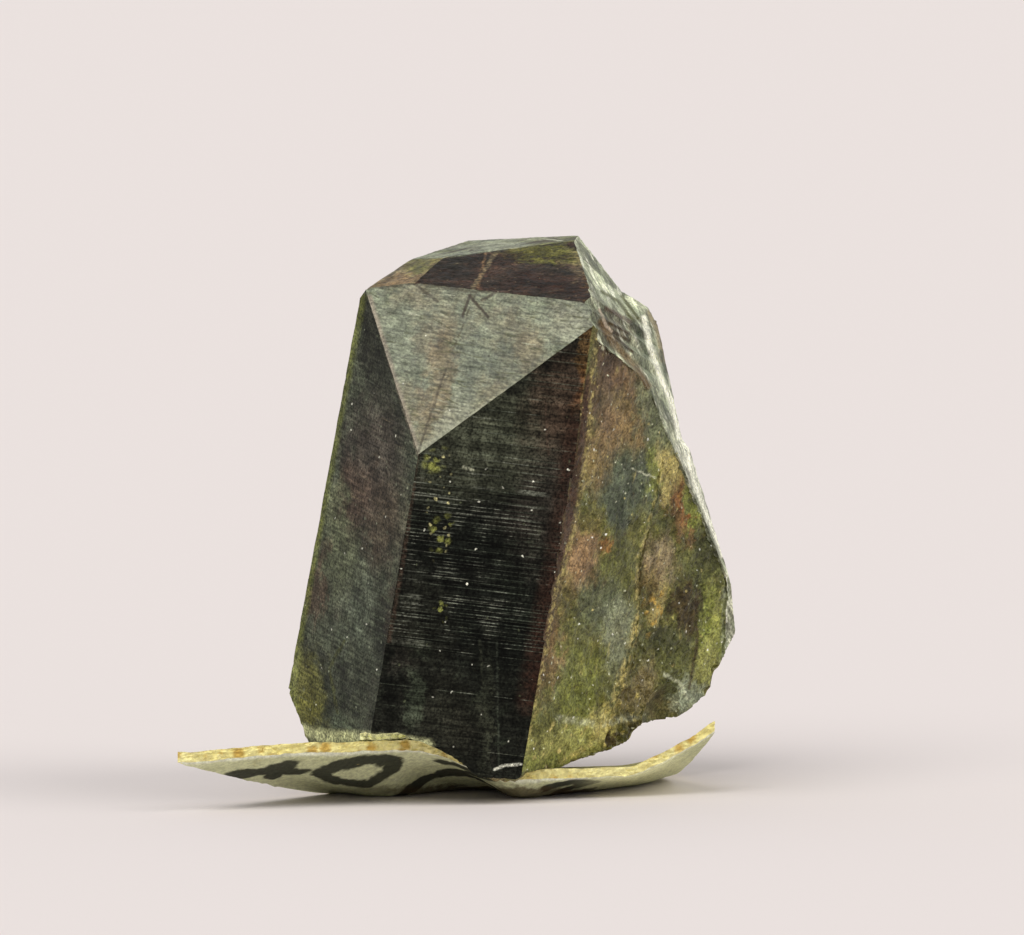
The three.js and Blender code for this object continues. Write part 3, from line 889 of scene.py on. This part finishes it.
            (520, 268, 30, 8, 4, 0.5, "plum", 0.5), (578, 262, 10, 14, 0, 0.5, "tan", 0.5),
        ],
        "strokes": [
            ([(498, 250), (472, 290)], 4, "tan", 0.6, 0.3), ([(486, 252), (478, 288)], 3, "rose", 0.5, 0.4),
            ([(450, 257), (510, 246), (580, 251)], 3, "moss", 0.6, 0.2),
            ([(556, 262), (592, 272)], 4, "mauve", 0.7, 0.4),
        ],
        "streaks": [
            ("front", -8, (1.2, 8, 1), 0.34, 0.05, 0.9, 1.4, "tan", 0.45),
            ("front", 6, (1.4, 10, 1), 0.34, 0.05, 0.9, 1.4, "ink", 0.6),
        ],
        "shade": [("front", 5, (1, 9, 1), 0.42, 1.6)],
        "specks": [("tan", 6, 0.22, 0.3, 0.45), ("pale", 4, 0.1, 0.2, 0.7)],
        "grain": [(3, 0.6, 1.4), (11, 0.3, 1.7)],
        "roughness": 0.5, "specular": 0.05, "bump": 0.4,
    },
    "tanRoof": {
        "light": 1.18, "base": "tan",
        "clouds": [("olive", 0.8, 0.46, 0.12, 0.7), ("brown", 1.4, 0.4, 0.1, 0.6)],
        "patches": [
            (400, 281, 34, 7, -6, 0.5, "rose", 0.6), (425, 258, 24, 9, -25, 0.5, "leaf", 0.45),
            (445, 275, 18, 8, 0, 0.5, "maroon", 0.6),
        ],
        "strokes": [([(366, 288), (424, 251)], 3, "pale", 0.35, 0.4)],
        "streaks": [("front", -28, (1.2, 10, 1), 0.4, 0.05, 0.7, 1.4, "umber", 0.7)],
        "shade": [("front", -25, (1, 9, 1), 0.56, 1.42)],
        "specks": [("straw", 6, 0.15, 0.3, 0.4), ("umber", 4, 0.12, 0.2, 0.5)],
        "grain": [(3, 0.7, 1.3), (9, 0.45, 1.6)],
        "roughness": 0.5, "specular": 0.1, "bump": 0.4,
    },
    "topStrip": {
        "light": 1.35, "base": "sage",
        "clouds": [("leaf", 0.9, 0.46, 0.12, 0.7), ("tan", 1.4, 0.36, 0.1, 0.5)],
        "patches": [(560, 240, 34, 8, 4, 0.5, "olive", 0.7), (500, 244, 22, 5, 0, 0.5, "pale", 0.5)],
        # a pale stroke along the top edge: painted highlight
        "strokes": [([(426, 250), (470, 245), (517, 238), (560, 237)], 3, "pale", 0.4, 0.5)],
        "streaks": [
            ("front", -14, (1.0, 15, 1), 0.44, 0.03, 0.5, 1.4, "umber", 0.85),
            ("front", 4, (1.4, 14, 1), 0.36, 0.04, 0.7, 1.4, "pale", 0.9),
        ],
        "shade": [("front", -10, (1, 10, 1), 0.46, 1.48)],
        "specks": [("straw", 6, 0.15, 0.3, 0.4), ("umber", 4, 0.12, 0.2, 0.4)],
        "grain": [(3, 0.66, 1.34), (11, 0.4, 1.65)],
        "roughness": 0.5, "specular": 0.1, "bump": 0.4,
    },
    "flank": {
        "light": 0.88, "base": "sage",
        "clouds": [("pale", 0.9, 0.46, 0.1, 0.8), ("lichen", 1.4, 0.36, 0.08, 0.6), ("white", 1.7, 0.32, 0.07, 0.6)],
        "patches": [
            (618, 328, 12, 16, -40, 0.5, "mauve", 0.6), (612, 300, 10, 12, 0, 0.5, "sage", 0.7),
            (690, 470, 6, 26, -18, 0.5, "white", 0.7), (655, 410, 8, 24, -20, 0.5, "lichen", 0.7),
            # the last, pale patch is painted light shining through the thin flake
            (650, 385, 6, 18, -20, 0.5, "teal", 0.5), (734, 605, 9, 40, 0, 0.3, "pale", 0.9),
        ],
        "strokes": [
            ([(601, 324), (613, 344), (634, 366), (647, 386)], 8, "brown", 0.85, 0.1),
            ([(601, 292), (618, 301), (634, 322)], 3, "moss", 0.85, 0.1),
            ([(622, 296), (638, 318)], 3, "moss", 0.85, 0.1), ([(606, 309), (630, 322)], 4.5, "mauve", 0.85, 0.1),
            ([(609, 324), (629, 334)], 3, "umber", 0.9, 0.1), ([(611, 331), (628, 341)], 3, "umber", 0.85, 0.1),
            ([(616, 339), (632, 352)], 3, "umber", 0.9, 0.1),
            ([(599, 311), (606, 327), (611, 332)], 3, "pink", 0.85, 0.1),
            ([(633, 325), (645, 336)], 8, "coal", 0.85, 0.1), ([(638, 334), (647, 354)], 7, "teal", 0.85, 0.2),
            ([(650, 312), (658, 330), (664, 360)], 6, "tan", 0.85, 0.2),
            ([(654, 308), (662, 335), (668, 372)], 2.5, "umber", 0.85, 0.1),
            ([(661, 350), (668, 385)], 3, "slate", 0.8, 0.3),
            # this white stroke and the white ones below it along the right edges are painted highlights
            ([(644, 318), (650, 347), (661, 378), (671, 400), (680, 438)], 5.5, "white", 1.0, 0.0),
            ([(662, 402), (669, 420)], 4, "teal", 0.8, 0.3),
            ([(684, 442), (697, 487), (724, 556)], 5, "white", 0.95, 0.2),
            ([(727, 575), (727, 622)], 3, "white", 0.8, 0.2),
        ],
        "streaks": [
            ("front", 62, (1.1, 9, 1), 0.42, 0.03, 0.7, 1.6, "umber", 0.4),
            ("front", 66, (1.4, 10, 1), 0.42, 0.03, 0.8, 1.6, "white", 0.6),
            ("front", 36, (1.2, 12, 1), 0.34, 0.03, 1.0, 1.4, "umber", 0.45),
        ],
        "shade": [("front", 64, (0.8, 8, 1), 0.6, 1.45)],
        "chips": [(62, (0.9, 4.0, 1), 0.5, 1.45), (64, (1.6, 8.0, 1), 0.8, 1.2)],
        # the white specks are painted glints, partly pale grains
        "specks": [("white", 4, 0.1, 0.2, 0.6), ("umber", 5, 0.14, 0.2, 0.4)],
        "grain": [(3, 0.66, 1.36), (13, 0.5, 1.5)],
        "roughness": 0.36, "specular": 0.01, "bump": 0.6, "wander": 0.07,
    },
    "rim": {
        "light": 1.0, "base": "olive",
        "clouds": [("moss", 0.8, 0.5, 0.12, 0.8), ("smoke", 0.6, 0.46, 0.12, 0.8), ("tan", 1.5, 0.32, 0.1, 0.4)],
        "streaks": [
            ("own", 0, (0.4, 0.4, 14), 0.38, 0.05, 0.7, 1.2, "lichen", 0.6),
            ("own", 0, (0.8, 0.8, 7), 0.34, 0.05, 0.8, 1.2, "ink", 0.5),
        ],
        "shade": [("own", 0, (0.3, 0.3, 9), 0.7, 1.3)],
        "specks": [("pale", 2.4, 0.1, 0.15, 0.6), ("umber", 4, 0.16, 0.25, 0.4)],
        "grain": [(11, 0.62, 1.4)],
        "roughness": 0.38, "specular": 0.25, "bump": 0.35,
    },
    "back": {
        "light": 1.0, "base": "smoke",
        "clouds": [
            ("olive", 0.45, 0.46, 0.14, 0.8), ("mauve", 0.6, 0.38, 0.12, 0.6), ("slate", 0.8, 0.34, 0.1, 0.6),
            ("coal", 0.5, 0.36, 0.12, 0.7),
        ],
        "streaks": [
            ("own", 0, (0.3, 0.3, 14), 0.38, 0.05, 0.8, 1.2, "lichen", 0.7),
            ("own", 0, (0.8, 0.8, 7), 0.34, 0.05, 0.8, 1.2, "ink", 0.5),
        ],
        "shade": [("own", 0, (0.2, 0.2, 8), 0.65, 1.35)],
        "specks": [("pale", 2.2, 0.1, 0.15, 0.6), ("straw", 3.6, 0.16, 0.2, 0.4)],
        "grain": [(11, 0.6, 1.42)],
        "roughness": 0.4, "specular": 0.25, "bump": 0.4,
    },
    "foot": {
        "light": 0.7, "base": "olive",
        "clouds": [("tan", 1.4, 0.46, 0.1, 0.8), ("pale", 2.2, 0.3, 0.08, 0.6), ("umber", 1.8, 0.36, 0.08, 0.7)],
        "patches": [
            (362, 738, 62, 14, 3, 0.4, "jade", 0.95), (455, 765, 24, 16, 20, 0.5, "lichen", 0.6),
            (480, 760, 14, 14, 0, 0.5, "coal", 0.7),
        ],
        "strokes": [([(578, 764), (597, 757)], 6, "white", 0.7, 0.1), (footLine, 18, "jade", 0.95, 0.15)],
        "streaks": [("own", 0, (1.5, 1.5, 6), 0.34, 0.06, 0.8, 1.2, "pale", 0.4)],
        "shade": [("own", 0, (1.5, 1.5, 4), 0.7, 1.3)],
        # the white specks are painted glints, partly pale grains
        "specks": [("straw", 4, 0.2, 0.35, 0.6), ("white", 3, 0.1, 0.2, 0.7), ("umber", 4.6, 0.2, 0.3, 0.6)],
        "grain": [(9, 0.5, 1.5)],
        "roughness": 0.45, "specular": 0.3, "bump": 0.8,
    },
}
looks["footBehind"] = {**looks["foot"], "patches": [], "strokes": []}
lookOfFinish = {"sliver": "right", "broken": "right", "breakWall": "right", "flake": "flank", "shell": "right"}
# how the small steps at the growth lines catch the light: whose look they have, and the clouds on top of it
ledgeLines = {
    "frontLedge": ("front", [("slate", 0.9, 0.5, 0.1, 0.5), ("silver", 1.2, 0.42, 0.06, 0.8)]),
    "leftLedge": ("left", [("lichen", 1.6, 0.4, 0.1, 0.4)]),
}
paintPlan = {
    "spare": 6,  # pixels beside a finish's box that still count
    "patchWander": (1.7, 1.1),  # how far the outlines of patches stray, in mm, and how finely, per mm
    "lineWander": (0.22, 3.5),
    "crumbScale": (6.0, 3.0),  # per mm, and detail
    "middleRange": (0.3, 0.7),  # the part of a noise that shades and gloss run over
    "gapRange": (0.42, 0.58),  # the part of it in which a stroke breaks up
    "glossRange": (-0.08, 0.14),  # how far the roughness goes below and above that of the look
    "cloudDetail": 6.0,
    "ledgeDetail": 4.0,
    "refraction": 1.76,  # the mineral's
    "bumpDistance": 0.00003,  # metres
}


def seenBoxes(piece):
    # for each finish, the box that its faces take up in the photograph's frame: left, top, right, bottom
    points = pointsOf(piece)
    lift = math.radians(studio["elevation"])
    scale = studio["pixelsPerMm"]
    across = studio["originAt"][0] + scale * points[:, 0]
    down = studio["originAt"][1] - scale * (points[:, 2] * math.cos(lift) + points[:, 1] * math.sin(lift))
    boxes = {}
    for number, finish in enumerate(finishes):
        faces = [face for face in piece.data.polygons if face.material_index == number]
        corners = [corner for face in faces for corner in face.vertices]
        if corners:
            boxes[finish] = (across[corners].min(), down[corners].min(), across[corners].max(), down[corners].max())
    return boxes


def touches(box, xs, ys):
    left, top, right, bottom = box
    spare = paintPlan["spare"]
    beside = max(xs) + spare > left and min(xs) - spare < right
    return beside and max(ys) + spare > top and min(ys) - spare < bottom


def patchTouches(box, patch):
    x, y, wide, high = patch[:4]
    return touches(box, (x - wide, x + wide), (y - high, y + high))


def blendIn(tree, colour, mask, tint, amount):
    return mixNode(tree, mathNode(tree, "MULTIPLY", mask, amount), colour, tint)


def addClouds(tree, place, colour, clouds, light, detail):
    for tint, perMm, share, softness, amount in clouds:
        colour = groupNode(
            tree, "mottle", Place=place, First=colour, Second=painted(tint, light), Scale=perMm, Share=share,
            Softness=softness, Detail=detail, Amount=amount,
        )["Colour"]
    return colour


def patchNode(tree, place, patch, **more):
    x, y, wide, high, leaning, softness = patch
    scale = studio["pixelsPerMm"]
    return groupNode(
        tree, "patch", Place=place, Centre=at(x, y), Reach=(wide / scale, high / scale, 1),
        Turn=math.radians(leaning), Softness=softness, **more,
    )


def addPatches(tree, place, colour, patches, light):
    for *patch, tint, amount in patches:
        tinted = patchNode(tree, place, patch, Colour=colour, Tint=painted(tint, light), Amount=amount)
        colour = tinted["Colour"]
    return colour


def keptTo(tree, place, mask, area):
    # the part of a mask that lies in a patch, where one is given
    for patch in area:
        mask = mathNode(tree, "MULTIPLY", mask, patchNode(tree, place, patch)["Mask"])
    return mask


def strokeMask(tree, place, ends, width, **more):
    mask = None
    for first, second in ends:
        stroke = groupNode(tree, "stroke", Place=place, Start=first, End=second, Width=width, **more)["Mask"]
        mask = stroke if mask is None else mathNode(tree, "MAXIMUM", mask, stroke)
    return mask


def addSpecks(tree, place, colour, specks, light, near=None):
    for tint, perMm, size, share, amount, *area in specks:
        mask = groupNode(tree, "specks", Place=place, Scale=perMm, Size=size, Share=share)["Mask"]
        colour = blendIn(tree, colour, keptTo(tree, near, mask, area), painted(tint, light), amount)
    return colour


def addGrain(tree, place, colour, layers):
    for perMm, darkest, lightest in layers:
        grain = groupNode(tree, "grain", Colour=colour, Place=place, Scale=perMm, Low=darkest, High=lightest)
        colour = grain["Colour"]
    return colour, grain["Height"]


def startPaint(name):
    paint = bpy.data.materials[name]
    paint.use_nodes = True
    return paint.node_tree, paint.node_tree.nodes["Principled BSDF"]


def finishPaint(tree, shader, colour, height, bump, roughness, specular):
    made = addNode(tree, "Bump", {"Height": height, "Strength": bump, "Distance": paintPlan["bumpDistance"]})
    connect(tree, shader, {
        "Base Color": colour, "Normal": made.outputs["Normal"], "Roughness": roughness,
        "Specular IOR Level": specular,
    })
    for number, last in enumerate((shader, tree.nodes["Material Output"])):
        last.location = (nodesApart[0] * (len(tree.nodes) + 2 * number), 0)


def finishCrystal(name, look, box, over=()):
    tree, shader = startPaint(name)
    light = look["light"]
    wander, fineness = paintPlan["patchWander"]
    place = groupNode(tree, "place", Wander=wander, Wander_Size=fineness)
    wander, fineness = paintPlan["lineWander"]
    near = groupNode(tree, "place", Wander=look.get("wander", wander), Wander_Size=fineness)["Ragged Front"]
    own, ragged = place["Own"], place["Ragged Front"]
    frames = {"own": own, "front": place["Front"]}
    colour = addClouds(tree, own, painted(look["base"], light), look["clouds"], light, paintPlan["cloudDetail"])
    patches = [patch for patch in look.get("patches", ()) if patchTouches(box, patch)]
    colour = addPatches(tree, ragged, colour, patches, light)
    for frameName, turn, stretch, darkest, lightest in look["shade"]:
        shade = groupNode(tree, "streaks", Place=frames[frameName], Turn=math.radians(turn), Stretch=stretch)
        factor = rangeNode(tree, shade["Height"], *paintPlan["middleRange"], darkest, lightest, "LINEAR")
        colour = vectorNode(tree, "SCALE", colour, factor)
    for turn, stretch, darkest, lightest in look.get("chips", ()):
        colour = groupNode(
            tree, "chips", Colour=colour, Place=near, Turn=math.radians(turn), Stretch=stretch, Low=darkest,
            High=lightest,
        )["Colour"]
    heights = []
    for frameName, turn, stretch, share, softness, gaps, gapScale, tint, amount, *area in look["streaks"]:
        streaks = groupNode(
            tree, "streaks", Place=frames[frameName], Turn=math.radians(turn), Stretch=stretch, Share=share,
            Softness=softness, Gaps=gaps, Gap_Scale=gapScale,
        )
        heights.append(streaks["Height"])
        mask = keptTo(tree, ragged, streaks["Mask"], area)
        colour = blendIn(tree, colour, mask, painted(tint, light), amount)
    scale, detail = paintPlan["crumbScale"]
    crumbs = addNode(tree, "TexNoise", {"Vector": own, "Scale": scale, "Detail": detail}).outputs["Fac"]
    for bends, width, tint, amount, breaks in look.get("strokes", ()):
        ends = [
            (at(*first), at(*second)) for first, second in zip(bends, bends[1:])
            if touches(box, (first[0], second[0]), (first[1], second[1]))
        ]
        if ends:
            mask = strokeMask(tree, near, ends, width / studio["pixelsPerMm"])
            gaps = rangeNode(tree, crumbs, *paintPlan["gapRange"], 1 - breaks)
            colour = blendIn(tree, colour, mathNode(tree, "MULTIPLY", mask, gaps), painted(tint, light), amount)
    colour = addClouds(tree, own, colour, over, light, paintPlan["ledgeDetail"])
    colour = addSpecks(tree, own, colour, look["specks"], light, near)
    colour, fine = addGrain(tree, own, colour, look["grain"])
    height = mathNode(tree, "ADD", heights[0], fine)
    roughness = [look["roughness"] + change for change in paintPlan["glossRange"]]
    gloss = rangeNode(tree, crumbs, *paintPlan["middleRange"], *roughness, "LINEAR")
    finishPaint(tree, shader, colour, height, look["bump"], gloss, look["specular"])
    shader.inputs["IOR"].default_value = paintPlan["refraction"]


seen = seenBoxes(crystal)
for name in finishes:
    if name in ledgeLines:
        base, over = ledgeLines[name]
        finishCrystal(name, looks[base], seen[name], over)
    elif name in seen:
        finishCrystal(name, looks[lookOfFinish.get(name, name)], seen[name])
handOver(crystal, crystalPlan["smoothAngle"])
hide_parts("crystal")
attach(crystal, "root")
print("crystal finished")


slipPlan = {
    "nearLeft": (-8, -5.7),  # mm, as in the CAD
    "nearRight": (5.39, -1.27),
    "meshSize": [0.3, 0.055, 0.1],  # longest edges on top, on the near edge and underneath, mm
    "smoothAngle": 40,  # degrees
    "upright": 0.3,  # a face that looks up or down less than this is part of the rim
    "facing": 0.95,  # and so is one that looks forwards more than this
    "torn": (0.05, 0.04, 0.055, 0.035),  # depth of the torn edge: evenly, by lumps, by fringe and below, mm
    "tornBack": 0.14,  # how far back it reaches
    "tornMost": 0.16,
    # the waves of the torn edge and of the sheet: width in mm, seed and octaves
    "fringe": (0.16, 31, 3),
    "fringeAcross": 2.2,  # the fringe is finer by this across the sheet's thickness
    "lumps": (0.7, 33, 2),
    "ripples": (0.3, 37, 3),
    "swell": 0.02,  # by each of two waves, mm
    "lifted": 0.35,  # only what is higher than this swells and sinks, mm
    "digits": [  # strokes of plain digits, in mm along the near edge and back from it
        [(1.7, 1.5), (3.1, 0.5), (2.9, 1.35)], [(1.8, 1.0), (3.5, 0.95)],
        [(4.0, 0.95), (4.4, 0.5), (5.2, 0.38), (5.8, 0.6), (5.95, 1.05), (5.4, 1.45), (4.5, 1.4), (4.0, 0.95)],
        [(7.1, 0.55), (8.2, 0.35), (7.9, 1.0), (7.4, 1.5)],
        [(9.9, 0.5), (10.5, 0.3), (11.0, 0.55), (10.3, 1.1), (9.9, 1.5), (11.2, 1.45)],
        [(6.4, 2.5), (8.0, 1.4), (9.4, 1.35)],
    ],
    "inkWidth": 0.48,
    "inkSoftness": 0.12,
    "inkWander": (0.35, 3.0, 4.0),  # how far the strokes stray, in mm, how finely, per mm, and detail
    "inkAmount": 0.94,
    "fibres": (0.03, 0.2),  # how far from the near edge they begin and end to fade, mm
    "fibreAmount": 0.6,
    "shadowPatchWander": (0.6, 1.4),
    "cloudDetail": 5.0,
    # the umber band along the underside's lower edge is painted contact shadow, partly dark paper; the cream patch
    # makes the curled right end paler
    "shadowBandAndPalePatch": [(505, 792, 130, 6, 1, 0.4, "umber", 0.8), (640, 772, 50, 10, -12, 0.5, "cream", 0.5)],
    "bump": 0.6,
    "roughness": 0.85,
    "specular": 0.15,
    "papers": {  # the finish of each side, given as in the looks above
        "paperTop": {
            "light": 1.0, "base": "cream",
            "clouds": [("butter", 0.9, 0.45, 0.12, 0.7), ("stain", 0.6, 0.34, 0.1, 0.5)],
            "specks": [("stain", 3, 0.12, 0.3, 0.5)], "grain": [(8, 0.86, 1.12)],
        },
        "paperEdge": {
            "light": 0.72, "base": "cream",
            "clouds": [("butter", 0.8, 0.5, 0.14, 0.6), ("fibre", 1.6, 0.36, 0.08, 0.6)],
            "specks": [("honey", 2.4, 0.5, 0.8, 0.8)], "grain": [(9, 0.86, 1.12)],
        },
        "paperUnder": {
            "light": 0.5, "base": "ash",
            "clouds": [
                ("dust", 0.6, 0.46, 0.14, 0.7), ("stain", 1.2, 0.3, 0.1, 0.35), ("fibre", 1.5, 0.3, 0.1, 0.35),
            ],
            "specks": [("stain", 4, 0.12, 0.3, 0.4)], "grain": [(9, 0.8, 1.16)],
        },
    },
}


def shapeSlip():
    piece = copyOfNode("paper_label", "paper_slip")
    near = np.array(slipPlan["nearLeft"])
    along = np.array(slipPlan["nearRight"]) - near
    along = along / np.linalg.norm(along)
    out = np.array([along[1], -along[0], 0])
    for finish in slipPlan["papers"]:
        piece.data.materials.append(bpy.data.materials.new(finish))
    top, nearEdge, under = range(3)
    onTop = np.zeros(len(piece.data.vertices))
    for polygon in piece.data.polygons:
        facing = polygon.normal.dot(Vector(out))
        if abs(polygon.normal.z) < slipPlan["upright"] or facing > slipPlan["facing"]:
            polygon.material_index = nearEdge
        elif polygon.normal.z > 0:
            polygon.material_index = top
            onTop[list(polygon.vertices)] = 1
        else:
            polygon.material_index = under
    storeOnPoints(piece, "layer", onTop)
    splitLongEdges(piece, slipPlan["meshSize"])
    points = pointsOf(piece)
    low, high = points.min(0), points.max(0)
    onTop = np.empty(len(points), np.float32)
    piece.data.attributes["layer"].data.foreach_get("value", onTop)
    flat = points[:, :2] - near
    sideways, back = flat @ along, -(flat @ out[:2])
    fringe = wave(points * np.array([1, 1, slipPlan["fringeAcross"]]), *slipPlan["fringe"])
    lumps = wave(points, *slipPlan["lumps"])
    edge = 1 - smoothStep(back, 0.0, slipPlan["tornBack"])
    even, byLumps, byFringe, below = slipPlan["torn"]
    torn = even + byLumps * lumps + byFringe * fringe + below * (1 - onTop)
    points = points - out * (edge * np.clip(torn, 0, slipPlan["tornMost"]))[:, None]
    swell = slipPlan["swell"] * wave(points, *slipPlan["ripples"]) + slipPlan["swell"] * lumps
    points[:, 2] += np.where(points[:, 2] > slipPlan["lifted"], swell, 0)
    setPoints(piece, np.clip(points, low, high))
    storeOnPoints(piece, "edgeAway", back)
    places = piece.data.uv_layers.new(name="slipPlace")
    corners = np.empty(len(piece.data.loops), np.int32)
    piece.data.loops.foreach_get("vertex_index", corners)
    places.data.foreach_set("uv", np.column_stack([sideways, back])[corners].ravel().astype(np.float32))
    return piece


def inkedPaper(tree, colour, light):
    # plain digits in old ink, and the white fibres that show where the near edge is torn
    flat = addNode(tree, "UVMap", uv_map="slipPlace").outputs["UV"]
    reach, scale, detail = slipPlan["inkWander"]
    place = strayed(tree, flat, reach, Vector=flat, Scale=scale, Detail=detail)
    ends = [
        ((*first, 0), (*second, 0)) for bends in slipPlan["digits"] for first, second in zip(bends, bends[1:])
    ]
    ink = strokeMask(tree, place, ends, slipPlan["inkWidth"], Softness=slipPlan["inkSoftness"])
    colour = blendIn(tree, colour, ink, painted("soot", light), slipPlan["inkAmount"])
    away = addNode(tree, "Attribute", attribute_name="edgeAway").outputs["Fac"]
    fibres = rangeNode(tree, away, *slipPlan["fibres"], 1, 0)
    return blendIn(tree, colour, fibres, painted("fibre", light), slipPlan["fibreAmount"])


def finishSlip():
    for name, look in slipPlan["papers"].items():
        tree, shader = startPaint(name)
        light = look["light"]
        own = groupNode(tree, "place")["Own"]
        colour = addClouds(tree, own, painted(look["base"], light), look["clouds"], light, slipPlan["cloudDetail"])
        if name == "paperUnder":
            colour = inkedPaper(tree, colour, light)
            wander, fineness = slipPlan["shadowPatchWander"]
            ragged = groupNode(tree, "place", Wander=wander, Wander_Size=fineness)["Ragged Front"]
            # painted contact shadow along the lower edge, and a paler patch
            colour = addPatches(tree, ragged, colour, slipPlan["shadowBandAndPalePatch"], light)
        colour = addSpecks(tree, own, colour, look["specks"], light)
        colour, height = addGrain(tree, own, colour, look["grain"])
        finishPaint(tree, shader, colour, height, slipPlan["bump"], slipPlan["roughness"], slipPlan["specular"])


slip = shapeSlip()
finishSlip()
handOver(slip, slipPlan["smoothAngle"])
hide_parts("paper_label")
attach(slip, "root")
print("paper slip finished")
